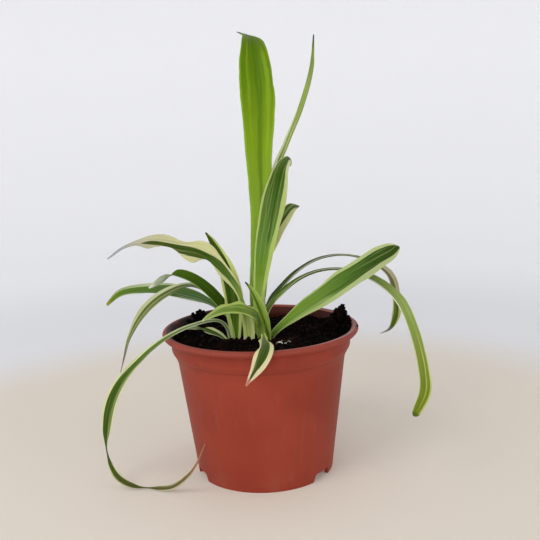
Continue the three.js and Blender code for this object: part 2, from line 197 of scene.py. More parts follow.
def meshPiece(name, points, faceGroups):
    mesh = bpy.data.meshes.new(name)
    mesh.from_pydata((points * mm).tolist(), [], [face for group in faceGroups for face in group.tolist()])
    mesh.polygons.foreach_set("use_smooth", np.ones(len(mesh.polygons), bool))
    mesh.update()
    piece = bpy.data.objects.new(name, mesh)
    bpy.context.scene.collection.objects.link(piece)
    return piece


def ringFaces(rows, columns, first=0):
    # Faces: the points' numbers ring by ring, and quads from each ring to the next
    grid = first + np.arange(rows * columns).reshape(rows, columns)
    beside = np.roll(grid, -1, axis=1)
    return grid, np.stack([grid[:-1], beside[:-1], beside[1:], grid[1:]], axis=-1).reshape(-1, 4)


def closedTube(name, rings, poles):
    # Surface: rings of points joined by quads from each ring to the next, closed by a fan to each pole,
    # and turned inside out where the signed volume comes out negative
    rows, columns = rings.shape[:2]
    points = np.concatenate([rings.reshape(-1, 3), np.array(poles, float)])
    grid, quads = ringFaces(rows, columns)
    startPole, endPole = (np.full(columns, rows * columns + pole) for pole in (0, 1))
    startFan = np.stack([startPole, np.roll(grid[0], -1), grid[0]], axis=-1)
    endFan = np.stack([endPole, grid[-1], np.roll(grid[-1], -1)], axis=-1)
    fans = np.concatenate([startFan, endFan])
    corners = points[np.concatenate([quads[:, :3], quads[:, [0, 2, 3]], fans])]
    volume = np.sum(corners[:, 0] * np.cross(corners[:, 1], corners[:, 2]))
    if volume < 0:
        quads, fans = quads[:, ::-1], fans[:, ::-1]
    return meshPiece(name, points, [quads, fans])


# Pot: a moulded plastic wall turned round the axis, with notches and drain holes cut out

pot = {
    "turns": 288,
    "corners": [           # radius, height and rounding of each bend, from under the floor to its top
        (39.8, 6, 0.3), (39.8, 0, 0.25), (42, 0, 0.5), (51.2, 71.5, 2.5), (52.5, 74.8, 0.6),
        (52.9, 75.1, 0.3), (53.1, 75.9, 0.3), (54.6, 78, 1.5), (54.9, 85.7, 0.8), (58.6, 86, 0.7),
        (60, 87.6, 1.3), (59.6, 89.4, 1.1), (57.8, 90, 1.2), (56, 89.5, 0.9), (53.4, 84.8, 0.8),
        (53.1, 78.5, 1.2), (50, 71, 2.5), (41.8, 7.5, 1.0),
    ],
    "roundSteps": 6,
    "plainStep": 4.0,      # longest stretch of wall between two rings
    "notches": (-66.5, 53.5, 173.5),                          # degrees round the foot
    "notchHeight": 5.0, "notchHalf": 8.5, "notchSlant": 2.0, "notchRounding": 1.4, "notchDepth": 5,
    "drains": 5, "drainRadius": 4.0, "drainCircle": 24.0, "drainSides": 24, "drainCut": (4.0, 9.0),
    "sharpFrom": 40,       # degrees between two faces
    "insideLine": [(7.5, 41.8), (71, 50), (78.5, 53.1), (84.8, 53.4), (89.4, 55.6)],     # height, radius
    "skin": 0.3,           # what lies this near the inside line is the inner wall
    # bands, heights and reaches of the painted shade and painted sheen on the pot's plastic
    "insideShadeBand": (7, 89), "leftShadeBand": (60, 89), "underRimShadeBand": (85.2, 86.6), "collarBand": (74.6, 75.3),
    "brimSheenBand": (86.8, 88.4), "leftShadeTop": 87.5, "lipTop": 89,   # heights
    "leftShadeRadius": 57.6, "underRimShadeRadius": 57.5, "brimSheenRadius": 57.2, "lipRadius": 58.6,
    "leftShadeSide": 40, "lipSide": 45,          # how far left and right they reach full strength
    "collarShade": 0.6,    # painted shade at the collar step, against the painted shade under the rim
    "cloud": (28, 3), "dustAndShadeNoise": (90, 4), "streaks": (260, 3), "dents": (60, 1), "grain": (1400, 2),   # noise
    "streakStretch": (1, 1, 0.12), "streakDust": 0.05, "lowDust": 0.07, "dustTop": 0.022,
    "plastic": paint(151, 63, 47), "plasticDeep": paint(140, 55, 41), "dust": paint(190, 140, 118),
    # painted shade colour for the left of the inner wall and the rim top
    "leftShadeColour": paint(38, 14, 10),
    "layers": [            # mark on the mesh, strength and colour, each over the one before
        # painted shade under the rim and at the collar step, then painted sheen on the outer top of the rim
        ("underRimShade", 0.55, paint(96, 34, 22)), ("brimSheen", 0.2, paint(140, 90, 84)),
        # painted sheen along the inner lip towards the right, then painted shade on the inner wall
        ("lip", 0.45, paint(178, 144, 142)), ("inside", 0.9, paint(60, 22, 19)),
    ],
    "surface": {
        "Specular IOR Level": 0.16, "Specular Tint": paint(255, 214, 196), "Subsurface Weight": 0.04,
        "Subsurface Radius": (1.0, 0.25, 0.12), "Subsurface Scale": 0.002,
    },
}


def roundedLine(corners, steps, longest):
    # Outline: each corner P becomes the curve (1-t)^2 P1 + 2t(1-t) P + t^2 P2, where P1 and P2 lie one
    # rounding away from P on its two sides. Straight stretches get points no further apart than `longest`.
    places = np.array([corner[:2] for corner in corners], float)
    line = [places[0]]
    roundings = [corner[2] for corner in corners[1:]]
    for before, corner, after, rounding in zip(places, places[1:], places[2:], roundings):
        back, ahead = before - corner, after - corner
        back *= min(rounding / np.linalg.norm(back), 0.5)
        ahead *= min(rounding / np.linalg.norm(ahead), 0.5)
        t = np.linspace(0, 1, steps)[:, None]
        bend = (1 - t) ** 2 * (corner + back) + 2 * t * (1 - t) * corner + t ** 2 * (corner + ahead)
        line.extend(bend)
    line.append(places[-1])
    full = [line[0]]
    for point in line[1:]:
        start = full[-1]
        count = max(1, math.ceil(np.linalg.norm(point - start) / longest))
        full.extend(start + (point - start) * share for share in np.linspace(0, 1, count + 1)[1:])
    return np.array(full)


def cutAway(piece, low, high):
    # Takes a body out of the piece: an outline of points carried straight from its low to its high place
    cutter = closedTube("cutter", np.stack([low, high]), [low.mean(0), high.mean(0)])
    modifier = piece.modifiers.new("cut", "BOOLEAN")
    modifier.operation = "DIFFERENCE"
    modifier.solver = "EXACT"
    modifier.object = cutter
    shape = piece.evaluated_get(bpy.context.evaluated_depsgraph_get())
    mesh = bpy.data.meshes.new_from_object(shape)
    piece.modifiers.clear()
    piece.data = mesh
    bpy.data.objects.remove(cutter)


def cutNotches(piece):
    # Outline: a low trapezium with rounded top corners, from below the foot up to the notch's height
    half, top, below = pot["notchHalf"], pot["notchHeight"], -2
    foot = pot["corners"][2][0]
    inner = half - pot["notchSlant"]
    sharp, rounding = 0.01, pot["notchRounding"]
    corners = [(0, below, 0), (half, below, sharp), (inner, top, rounding), (-inner, top, rounding),
               (-half, below, sharp), (0, below, 0)]
    outline = roundedLine(corners, 5, 50)[:-1]
    for degrees in pot["notches"]:
        turn = math.radians(degrees)
        side = np.array([math.cos(turn), math.sin(turn)])
        out = np.array([math.sin(turn), -math.cos(turn)])
        low, high = (
            np.column_stack([outline[:, :1] * side + (foot + reach) * out, outline[:, 1]])
            for reach in (-pot["notchDepth"], pot["notchDepth"]))
        cutAway(piece, low, high)


def cutDrains(piece):
    # Outline: a circle, repeated at even turns round the floor's middle
    angle = circle(pot["drainSides"])
    outline = pot["drainRadius"] * np.column_stack([np.cos(angle), np.sin(angle)])
    for turn in circle(pot["drains"]):
        hole = outline + pot["drainCircle"] * np.array([math.cos(turn), math.sin(turn)])
        cutAway(piece, *(np.column_stack([hole, np.full(len(hole), level)]) for level in pot["drainCut"]))


def markPot(piece):
    # Marks: painted shade inside, on the left and under the rim, painted sheen on the brim and lip, told by
    # each point's radius, height and side
    flat = np.empty(3 * len(piece.data.vertices), np.float32)
    piece.data.vertices.foreach_get("co", flat)
    x, y, z = flat.reshape(-1, 3).T / mm
    radius = np.hypot(x, y)
    inner = np.interp(z, *zip(*pot["insideLine"]))
    wall, outside = radius < inner + pot["skin"], radius > inner

    def band(title):
        low, high = pot[title]
        return (z > low) & (z < high)

    # rim top inside the lip, which takes the painted shade on the left
    leftShadeOnRim = (radius < pot["leftShadeRadius"]) & (z > pot["leftShadeTop"])
    # band under the rim that takes painted shade
    underRimShade = (radius < pot["underRimShadeRadius"]) & band("underRimShadeBand")
    addMarks(piece.data, {
        # painted shade on the inner wall
        "inside": wall & band("insideShadeBand"),
        # painted shade on the left of the inner wall and the rim top
        "leftShade": smooth(-x, 0, pot["leftShadeSide"]) * (wall & band("leftShadeBand") | leftShadeOnRim),
        # painted sheen on the outer top of the rim
        "brimSheen": (radius > pot["brimSheenRadius"]) * smooth(z, *pot["brimSheenBand"]),
        # painted shade under the rim and at the collar step
        "underRimShade": outside * (underRimShade + pot["collarShade"] * band("collarBand")),
        # painted sheen along the inner lip, strongest on the right
        "lip": smooth(x, 0, pot["lipSide"]) * (z > pot["lipTop"]) * (radius < pot["lipRadius"]),
    })


def potMaterial():
    material, tree, shader = newMaterial("moulded terracotta plastic")
    spot = objectPlace(tree)
    cloud = noise(tree, spot, *pot["cloud"])
    dustAndShadeNoise = noise(tree, spot, *pot["dustAndShadeNoise"])
    streaks = noise(tree, stretch(tree, spot, pot["streakStretch"]), *pot["streaks"])
    colour = blend(tree, ramp(tree, cloud, 0.3, 0.7), pot["plasticDeep"], pot["plastic"])
    streaked = times(tree, ramp(tree, streaks, 0.55, 0.8), pot["streakDust"])
    colour = blend(tree, streaked, colour, pot["dust"])
    height = tree.nodes.new("ShaderNodeSeparateXYZ")
    put(tree, height.inputs[0], spot)
    low = ramp(tree, height.outputs["Z"], pot["dustTop"], 0.0)
    dusty = times(tree, low, times(tree, ramp(tree, dustAndShadeNoise, 0.45, 0.7), pot["lowDust"]))
    colour = blend(tree, dusty, colour, pot["dust"])
    # painted shade and painted sheen, laid on layer by layer
    for title, strength, over in pot["layers"]:
        colour = blend(tree, times(tree, mark(tree, title), strength), colour, over)
    # painted shade on the left, broken into patches by the noise that also places the dust at the foot
    leftShade = times(tree, mark(tree, "leftShade"), ramp(tree, dustAndShadeNoise, 0.1, 0.5))
    put(tree, shader.inputs["Base Color"], blend(tree, leftShade, colour, pot["leftShadeColour"]))
    put(tree, shader.inputs["Roughness"], calc(tree, "MULTIPLY_ADD", cloud, 0.18, 0.42))
    grain = bump(tree, noise(tree, spot, *pot["grain"]), 0.12, 0.0002)
    dents = noise(tree, spot, *pot["dents"])
    put(tree, shader.inputs["Normal"], bump(tree, dents, 0.25, 0.0008, grain))
    fix(shader, pot["surface"])
    return material


def makePot():
    # Surface: radius and height follow the rounded outline, the angle runs once round
    outline = roundedLine(pot["corners"], pot["roundSteps"], pot["plainStep"])
    angle = circle(pot["turns"])
    radius, height = outline[:, 0, None], outline[:, 1, None]
    rings = np.stack([radius * np.cos(angle), radius * np.sin(angle), height + 0 * angle], axis=-1)
    piece = closedTube("pot_shell", rings, [(0, 0, pot["corners"][0][1]), (0, 0, pot["corners"][-1][1])])
    cutNotches(piece)
    cutDrains(piece)
    piece.data.set_sharp_from_angle(angle=math.radians(pot["sharpFrom"]))
    markPot(piece)
    dress(piece, potMaterial())
    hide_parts("pot")
    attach(piece, "root")


makePot()
print("pot made")


# Soil: the filling of the pot, with a lumpy top, loose crumbs, fibres and pale bits on it

soil = {
    "level": 82.0,
    "heaps": [(47, 14, 7, 7), (-38, 29, 6, 7), (-45, 14, 4, 9), (24, 36, 3, 12), (30, -24, -2, 16),
              (-28, -30, -3, 15)],          # x, y, height, spread; the two tall ones come first
    "lumps": [             # slow waves: radians per mm in x and y, and start
        (0.41, 0.37, 1.3), (0.23, -0.52, 0.0), (-0.15, 0.31, 2.1)],
    "lumpHeight": 0.8,
    "edge": 52.8, "edgeTops": (86.0, 88.5),             # how high the two outermost rings may reach
    "side": [(41.5, 7.8), (49.7, 71.0), (52.8, 78.5)],  # radius and height of the bends inside the pot
    "rings": 104, "turns": 384,
    "grain": [(5.0, 0.55), (2.4, 0.45), (1.1, 0.3)],    # cell size and height of the fine unevenness
    "grainSeed": 20, "clodSeed": 5, "crownSeed": 31,
    "clods": 1300, "clodSize": (0.7, 2.3), "clodReach": 52.0, "clodSunk": (0.1, 0.8), "clodTop": 2.4,
    "clodBias": 2.2,       # how much commoner the small ones are
    "wobble": (0.25, 3.1, 2.7),             # share of the radius, radians per radius in x and in y
    "crown": (-4, 1), "crownReach": (16, 22), "crownTop": 81.9,     # soil is drawn up over the crown
    "below": 70, "crownGrain": (1.3, 0.25),
    "patches": (70, 4), "specks": (600, 3), "flecks": (1100, 1),      # scale and detail of the noise
    "dark": paint(8, 3, 2), "brown": paint(32, 12, 9), "black": paint(3, 2, 1), "fleck": paint(62, 42, 30),
}


def latticeNoise(x, y, cell, seed):
    # Noise: random heights at the corners of square cells, blended by 3t^2 - 2t^3 inside each cell
    size = 97
    table = np.random.default_rng(seed).uniform(-1, 1, (size, size))
    u, v = x / cell + size, y / cell + size
    i, j = np.floor(u).astype(int), np.floor(v).astype(int)
    s, t = smooth(u - i, 0, 1), smooth(v - j, 0, 1)
    low = table[i % size, j % size] * (1 - s) + table[(i + 1) % size, j % size] * s
    high = table[i % size, (j + 1) % size] * (1 - s) + table[(i + 1) % size, (j + 1) % size] * s
    return low * (1 - t) + high * t


def discPlaces(draw, count, radius):
    reach = radius * np.sqrt(draw.uniform(0, 1, count))
    turn = draw.uniform(0, fullTurn, count)
    return reach * np.cos(turn), reach * np.sin(turn)


def soilBase(x, y):
    # Height: the level, plus a bell for each heap, height * exp(-(distance / spread)^2), plus slow sines
    height = np.full_like(x, soil["level"])
    for heapX, heapY, rise, spread in soil["heaps"]:
        height += rise * np.exp(-((x - heapX) ** 2 + (y - heapY) ** 2) / spread ** 2)
    for alongX, alongY, start in soil["lumps"]:
        height += soil["lumpHeight"] * np.sin(alongX * x + alongY * y + start)
    return height


def soilHeight(x, y):
    # Height: the base, three sizes of lattice noise, and over it round clods, each the top of a sunk ball
    # whose radius wavers by a quarter; near the crown the height is at least the crown's top
    height = soilBase(x, y)
    for order, (cell, rise) in enumerate(soil["grain"]):
        height += rise * latticeNoise(x, y, cell, soil["grainSeed"] + order)
    draw = np.random.default_rng(soil["clodSeed"])
    clodX, clodY = discPlaces(draw, soil["clods"], soil["clodReach"])
    smallest, largest = soil["clodSize"]
    radius = smallest + (largest - smallest) * draw.uniform(0, 1, soil["clods"]) ** soil["clodBias"]
    clodZ = soilBase(clodX, clodY) - radius * draw.uniform(*soil["clodSunk"], soil["clods"])
    ground = height.copy()
    share, alongX, alongY = soil["wobble"]
    for cx, cy, cz, r in zip(clodX, clodY, clodZ, radius):
        wobble = 1 + share * np.sin(alongX * (x - cx) / r + cz) * np.cos(alongY * (y - cy) / r + cx)
        room = (r * wobble) ** 2 - (x - cx) ** 2 - (y - cy) ** 2
        near = room > 0
        height[near] = np.maximum(height[near], cz + np.sqrt(room[near]))
    height = ground + np.clip(height - ground, 0, soil["clodTop"])
    crownX, crownY = soil["crown"]
    drawn = 1 - smooth(np.hypot(x - crownX, y - crownY), *soil["crownReach"])
    least = soil["crownTop"] * drawn + soil["below"] * (1 - drawn)
    cell, rise = soil["crownGrain"]
    return np.maximum(height, least + rise * latticeNoise(x, y, cell, soil["crownSeed"]))


def soilMaterial(name):
    material, tree, shader = newMaterial(name)
    spot = objectPlace(tree)
    patches = noise(tree, spot, *soil["patches"])
    specks = noise(tree, spot, *soil["specks"])
    colour = blend(tree, ramp(tree, patches, 0.45, 0.75), soil["dark"], soil["brown"])
    colour = blend(tree, ramp(tree, specks, 0.5, 0.35), colour, soil["black"])
    fleck = ramp(tree, noise(tree, spot, *soil["flecks"]), 0.74, 0.8)
    put(tree, shader.inputs["Base Color"], blend(tree, fleck, colour, soil["fleck"]))
    put(tree, shader.inputs["Roughness"], calc(tree, "MAXIMUM", specks, 0.85))
    put(tree, shader.inputs["Normal"], bump(tree, specks, 0.6, 0.0006, bump(tree, patches, 0.4, 0.001)))
    fix(shader, {"Specular IOR Level": 0.06})
    return material


def makeSoil():
    # Surface: rings up the pot's inside, then rings of shrinking radius whose height is the soil's
    angle = circle(soil["turns"])
    rings = []
    for radius, height in soil["side"]:
        rings.append(np.column_stack([radius * np.cos(angle), radius * np.sin(angle), height + 0 * angle]))
    radii = soil["edge"] * np.linspace(1, 1 / soil["rings"], soil["rings"])
    x, y = radii[:, None] * np.cos(angle), radii[:, None] * np.sin(angle)
    z = soilHeight(x.ravel(), y.ravel()).reshape(x.shape)
    for ring, top in enumerate(soil["edgeTops"]):
        z[ring] = np.minimum(z[ring], top)
    rings = np.concatenate([np.array(rings), np.stack([x, y, z], axis=-1)])
    piece = closedTube("soil_bed", rings, [(0, 0, soil["side"][0][1]), (0, 0, z[-1].mean())])
    dress(piece, soilMaterial("potting soil"))
    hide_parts("soil")
    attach(piece, "root")


# Clods, crumbs and pale bits on the soil

clumps = {
    "balls": [             # x, y, z, radius of each clod
        # the tall heap at the right and the ridge along the inner wall in front of it
        (51.6, 14, 96.4, 1.3), (51, 14.5, 94.6, 2), (49, 16.5, 92, 2.4), (52.6, 12, 92.4, 2.1),
        (53.9, 8.5, 89.9, 1.9), (54.6, 5, 88.6, 1.8), (50, 13, 89.4, 3.3), (46.5, 18.5, 87.4, 3),
        (43.5, 21.5, 84.6, 3), (52.6, 3, 86.2, 2.6), (46.5, 11, 85.4, 3.4), (40.5, 26, 83.8, 2.6),
        (49, 6.5, 85, 2.8), (54.8, 0.5, 88, 1.6), (54.4, -4.5, 87.2, 1.7), (53.8, -9.5, 86.4, 1.8),
        (52.6, -14.5, 85.8, 1.8), (51, -2, 84.6, 2.4),
        # the low ridge along the inner wall at the left and behind
        (-39.4, 30.5, 93.4, 0.8), (-40.6, 29.5, 92.2, 1.1), (-43.8, 25.8, 91.9, 0.8),
        (-37.4, 32.5, 91.2, 1.3), (-42.4, 27.3, 90.6, 1.3), (-39.6, 29.5, 89.4, 2.2),
        (-34.4, 35, 88.6, 1.7), (-30, 38.5, 87.2, 1.6), (-45.8, 23, 88, 1.4), (-47.8, 18, 86, 1.7),
        (-36, 31, 86.6, 2.8), (-42.4, 24.5, 86.4, 2.6), (-26.5, 41, 86.6, 1.8), (-31, 35, 85.8, 2.6),
        (-22.5, 44, 85.4, 1.8), (-50.2, 12, 85.6, 1.8), (-51.6, 5, 85.2, 1.6), (-51.2, -3, 85, 1.6),
        # round the feet of the leaves
        (-14.6, -7.6, 82.2, 1.5), (-11.4, -6.6, 82.2, 1.4), (-7.6, -8.8, 82.3, 1.6),
        (-4.4, -10.6, 82.3, 1.5), (-1.4, -9.6, 82.2, 1.4), (-17.6, -6.2, 82, 1.4), (2.4, -9.4, 82, 1.4),
        (9.6, -8.6, 81.8, 1.5),
    ],
    "levels": 3, "bumps": ((2.6, 0.16), (5.5, 0.12), (11.0, 0.06)),     # waves round a ball, and height
    "headings": 9,         # directions that each size of wave runs in
    "swell": 1.4, "starts": 6.3, "seed": 23,
    "crumbsEach": 26, "crumbSize": (0.3, 0.9),          # smallest, and how much the largest is more
}
crumbs = {
    "spread": 1500, "onHeaps": 210, "reach": 51.5, "limit": 51.8,
    "size": (0.25, 1.35), "bias": 2.5, "raised": 0.35, "heapShare": 0.55, "flat": 0.8,
    "seed": 11, "shapeSeed": 12,
    "rimCrumbs": [         # x, y, z, radius
        (58.3, -10.3, 90.1, 0.9), (-57.9, -9, 90.1, 0.35), (56.8, -14, 90.2, 0.3), (-20, 54.5, 89.6, 0.6)],
    "squeeze": (0.6, 1.2), "rough": (0.75, 1.2),
}
paleBits = {
    "placed": [            # x, y, radius
        (9.2, -14.4, 0.5), (9.9, -14.3, 0.65), (10.7, -14.2, 0.75), (11.5, -14.3, 0.7), (12.3, -14.4, 0.6),
        (13, -14.6, 0.45), (14.6, -13.8, 0.5), (15.4, -13.7, 0.65), (16.2, -13.8, 0.7), (17, -14, 0.6),
        (17.7, -14.3, 0.4), (-21.8, -5, 0.45)],
    "spread": 10, "reach": 50, "size": (0.25, 0.45), "raised": (0.3, 0.4), "flat": 0.7, "shapeSeed": 13,
    "colour": paint(236, 232, 218), "stained": paint(176, 160, 136),
}


def crumbShape(levels):
    # Shape: an octahedron whose edges are halved again and again, each corner pushed out to a unit ball
    points = [np.array(axis, float) for axis in (
        (1, 0, 0), (-1, 0, 0), (0, 1, 0), (0, -1, 0), (0, 0, 1), (0, 0, -1))]
    eighths = [(x, y, z) for x in (0, 1) for y in (2, 3) for z in (4, 5)]
    faces = [(x, y, z) if (x + y + z) % 2 == 0 else (x, z, y) for x, y, z in eighths]
    for _ in range(levels):
        middles = {}

        def middle(a, b):
            key = (min(a, b), max(a, b))
            if key not in middles:
                middles[key] = len(points)
                points.append((points[a] + points[b]) / np.linalg.norm(points[a] + points[b]))
            return middles[key]

        finer = []
        for a, b, c in faces:
            ab, bc, ca = middle(a, b), middle(b, c), middle(c, a)
            finer += [(a, ab, ca), (b, bc, ab), (c, ca, bc), (ab, bc, ca)]
        faces = finer
    return np.array(points), np.array(faces)


def copyFaces(faces, corners, count):
    return (faces + corners * np.arange(count)[:, None, None]).reshape(-1, 3)


def scatter(name, centres, radii, seed, flat, material):
    # Shapes: the crumb's ball, each copy squeezed along three axes, roughened by a draw and turned freely
    ball, faces = crumbShape(1)
    draw = np.random.default_rng(seed)
    count = len(centres)
    squeeze = draw.uniform(*crumbs["squeeze"], (count, 1, 3)) * np.array([1, 1, flat])
    rough = draw.uniform(*crumbs["rough"], (count, len(ball), 1))
    axes = np.linalg.qr(draw.normal(size=(count, 3, 3)))[0]
    axes *= np.sign(np.linalg.det(axes))[:, None, None]
    shapes = np.einsum("nij,nkj->nki", axes, ball * rough * squeeze)
    points = centres[:, None] + shapes * radii[:, None, None]
    piece = meshPiece(name, points.reshape(-1, 3), [copyFaces(faces, len(ball), count)])
    dress(piece, material)
    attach(piece, "root")


def makeClumps():
    # Shape: in each direction e a ball's radius grows by swell * height / 3 * sin(waves * (e . d) + start),
    # added up for nine random directions d of each size of wave
    ball, faces = crumbShape(clumps["levels"])
    draw = np.random.default_rng(clumps["seed"])
    places = np.array(clumps["balls"])
    shapes = []
    for x, y, z, radius in places:
        reach = np.ones(len(ball))
        for waves, height in clumps["bumps"]:
            heading = draw.normal(size=(clumps["headings"], 3))
            heading /= np.linalg.norm(heading, axis=1, keepdims=True)
            start = draw.uniform(0, clumps["starts"], clumps["headings"])
            height *= clumps["swell"] / math.sqrt(clumps["headings"])
            reach += height * np.sin(waves * ball @ heading.T + start).sum(axis=1)
        shapes.append((x, y, z) + radius * reach[:, None] * ball)
    piece = meshPiece("soil_clumps", np.concatenate(shapes), [copyFaces(faces, len(ball), len(places))])
    dress(piece, soilMaterial("soil clumps"))
    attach(piece, "root")
    heading = draw.normal(size=(len(places), clumps["crumbsEach"], 3))
    heading[..., 2] = np.abs(heading[..., 2])
    heading /= np.linalg.norm(heading, axis=2, keepdims=True)
    crusted = places[:, None, :3] + places[:, None, 3:] * heading
    smallest, more = clumps["crumbSize"]
    size = smallest + more * draw.uniform(0, 1, crusted.shape[:2]) ** 2
    return crusted.reshape(-1, 3), size.ravel()


def makeCrumbs(draw, crusted, crustSize):
    # Places: spread evenly over the soil, thick round the two tall heaps, and on the crusts of the clods
    x, y = discPlaces(draw, crumbs["spread"], crumbs["reach"])
    for heapX, heapY, _, spread in soil["heaps"][:2]:
        heaped = draw.normal(0, crumbs["heapShare"] * spread, (crumbs["onHeaps"], 2))
        x = np.concatenate([x, heapX + heaped[:, 0]])
        y = np.concatenate([y, heapY + heaped[:, 1]])
    inside = np.hypot(x, y) < crumbs["limit"]
    x, y = x[inside], y[inside]
    low, high = crumbs["size"]
    radii = low + (high - low) * draw.uniform(0, 1, len(x)) ** crumbs["bias"]
    z = soilHeight(x, y) + crumbs["raised"] * radii
    placed = np.array(crumbs["rimCrumbs"])
    centres = np.concatenate([np.column_stack([x, y, z]), placed[:, :3], crusted])
    radii = np.concatenate([radii, placed[:, 3], crustSize])
    material = soilMaterial("soil crumbs")
    scatter("soil_crumbs", centres, radii, crumbs["shapeSeed"], crumbs["flat"], material)


def makePaleBits(draw):
    x, y = discPlaces(draw, paleBits["spread"], paleBits["reach"])
    radii = draw.uniform(*paleBits["size"], len(x))
    placedX, placedY, placedRadii = np.array(paleBits["placed"]).T
    raised = np.repeat(paleBits["raised"], (len(x), len(placedX)))
    x, y, radii = np.append(x, placedX), np.append(y, placedY), np.append(radii, placedRadii)
    material, tree, shader = newMaterial("perlite")
    spot = objectPlace(tree)
    stain = ramp(tree, noise(tree, spot, 700, 3), 0.4, 0.7)
    put(tree, shader.inputs["Base Color"], blend(tree, stain, paleBits["colour"], paleBits["stained"]))
    put(tree, shader.inputs["Normal"], bump(tree, noise(tree, spot, 2500, 2), 0.5, 0.0003))
    fix(shader, {"Roughness": 0.9})
    centres = np.column_stack([x, y, soilHeight(x, y) + raised * radii])
    scatter("perlite_bits", centres, radii, paleBits["shapeSeed"], paleBits["flat"], material)


fibres = {
    "count": 60, "length": (3.0, 11.0), "radius": (0.07, 0.16), "steps": 9, "sides": 5,
    "reach": 48, "limit": 51.5, "heaps": ((-37, 29), (44, 15)), "onHeaps": 20, "heapSpread": 5,
    "bending": 0.35, "arch": 2.2, "above": 0.15, "endWidth": 0.35, "taperFrom": 0.15, "seed": 17,
    "colour": paint(38, 22, 15), "pale": paint(74, 52, 36),
}


def makeFibres():
    # Shape: thin tubes along random walks that bend a little at each step and hug the soil's top
    draw = np.random.default_rng(fibres["seed"])
    sides, steps = fibres["sides"], fibres["steps"]
    ring = circle(sides)
    thin, taper = fibres["endWidth"], fibres["taperFrom"]
    swell = thin + (1 - thin) * np.sin(np.linspace(taper, math.pi - taper, steps))
    points, faces = [], []
    starts = np.column_stack(discPlaces(draw, fibres["count"], fibres["reach"]))
    heaped = draw.normal(0, fibres["heapSpread"], (fibres["onHeaps"], 2))
    odd, even = fibres["heaps"]
    starts[:len(heaped)] = heaped + np.where(np.arange(len(heaped))[:, None] % 2, odd, even)
    for start in starts:
        length, radius = draw.uniform(*fibres["length"]), draw.uniform(*fibres["radius"])
        heading = draw.uniform(0, fullTurn) + np.cumsum(draw.normal(0, fibres["bending"], steps))
        stride = length / steps
        walk = start + np.cumsum(stride * np.column_stack([np.cos(heading), np.sin(heading)]), axis=0)
        if np.max(np.hypot(walk[:, 0], walk[:, 1])) > fibres["limit"]:
            continue
        arch = draw.uniform(0, fibres["arch"]) * np.sin(np.linspace(0, math.pi, steps))
        path = np.column_stack([walk, soilHeight(walk[:, 0], walk[:, 1]) + fibres["above"] + arch])
        ahead = np.gradient(path, axis=0)
        ahead /= np.linalg.norm(ahead, axis=1, keepdims=True)
        side = np.cross(ahead, (0, 0, 1))
        side /= np.linalg.norm(side, axis=1, keepdims=True)
        up = np.cross(side, ahead)
        rings = path[:, None] + (radius * swell)[:, None, None] * (
            np.cos(ring)[:, None] * side[:, None] + np.sin(ring)[:, None] * up[:, None])
        grid, quads = ringFaces(steps, sides, steps * sides * len(points))
        points.append(rings.reshape(-1, 3))
        faces += [quads, grid[:1, ::-1], grid[-1:]]
    piece = meshPiece("soil_fibres", np.concatenate(points), faces)
    material, tree, shader = newMaterial("peat fibres")
    spot = objectPlace(tree)
    tone = ramp(tree, noise(tree, spot, 120, 2), 0.5, 0.65)
    put(tree, shader.inputs["Base Color"], blend(tree, tone, fibres["colour"], fibres["pale"]))
    put(tree, shader.inputs["Normal"], bump(tree, noise(tree, spot, 3000, 2), 0.4, 0.0002))
    fix(shader, {"Roughness": 0.85})
    dress(piece, material)
    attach(piece, "root")


makeSoil()
crumbDraw = np.random.default_rng(crumbs["seed"])
makeCrumbs(crumbDraw, *makeClumps())
makePaleBits(crumbDraw)
makeFibres()
print("soil made")


# Crown: the fleshy shoots and roots under the soil keep their solid and get a skin

crown = {"light": paint(206, 200, 158), "dark": paint(150, 138, 92)}


def makeCrown():
    material, tree, shader = newMaterial("pale root skin")
    rings = noise(tree, stretch(tree, objectPlace(tree), (1, 1, 4)), 120, 3)
    put(tree, shader.inputs["Base Color"], blend(tree, rings, crown["light"], crown["dark"]))
    put(tree, shader.inputs["Normal"], bump(tree, rings, 0.4, 0.0006))
    fix(shader, {"Roughness": 0.6})
    dress(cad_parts["crown"], material)


makeCrown()


# Leaves: thin channelled blades along free curves

blade = {
    "rowLength": 0.85, "tipRows": 8, "columns": 33, "evenness": 0.45,
    "ribSoftness": 1.25, "channelMiddle": 0.45, "openBy": 0.35, "closeFrom": 0.6, "ruffleSwell": 0.7,
    "unevenness": [        # cell in mm, row in the lattice, power of u, share of half width up and across
        (9.0, 7.3, 3, 0.035, 0.03), (3.0, 5.1, 4, 0.012, 0.012)],
    "footLevel": 81.05,
    "thickness": (1.0, 0.5), "thinBy": 0.15,      # mm at the foot and along the rest, and from where on
    "edgePower": 7, "narrowest": 0.08, "thinnest": 0.3, "tipPole": 0.05,
    "keel": (0.7, 0.2), "keelTo": 0.7,            # how far the rib stands out below, at foot and tip
    "keelWidth": 0.13, "keelHalf": (1.0, 3.0), "groove": 0.35,
    "veinHeight": 0.035, "veins": 9, "veinHalf": (1.5, 4.0),
    "textures": [          # stretch and detail of the streaks, veins, patches and specks
        ((1.1, 0.02, 3), 3), ((4.0, 0.03, 3), 2), ((0.3, 0.06, 2), 2), ((1.3, 0.7, 1), 1)],
    "stripeCore": 0.25, "stripeFade": 0.04, "marginFade": 0.28,
    "speck": paint(84, 96, 40), "speckFrom": (0.3, 0.1),
    "surface": {
        "Specular IOR Level": 0.16, "Specular Tint": paint(226, 240, 190),
        "Subsurface Radius": (0.7, 1.0, 0.25), "Subsurface Scale": 0.0015,
    },
}

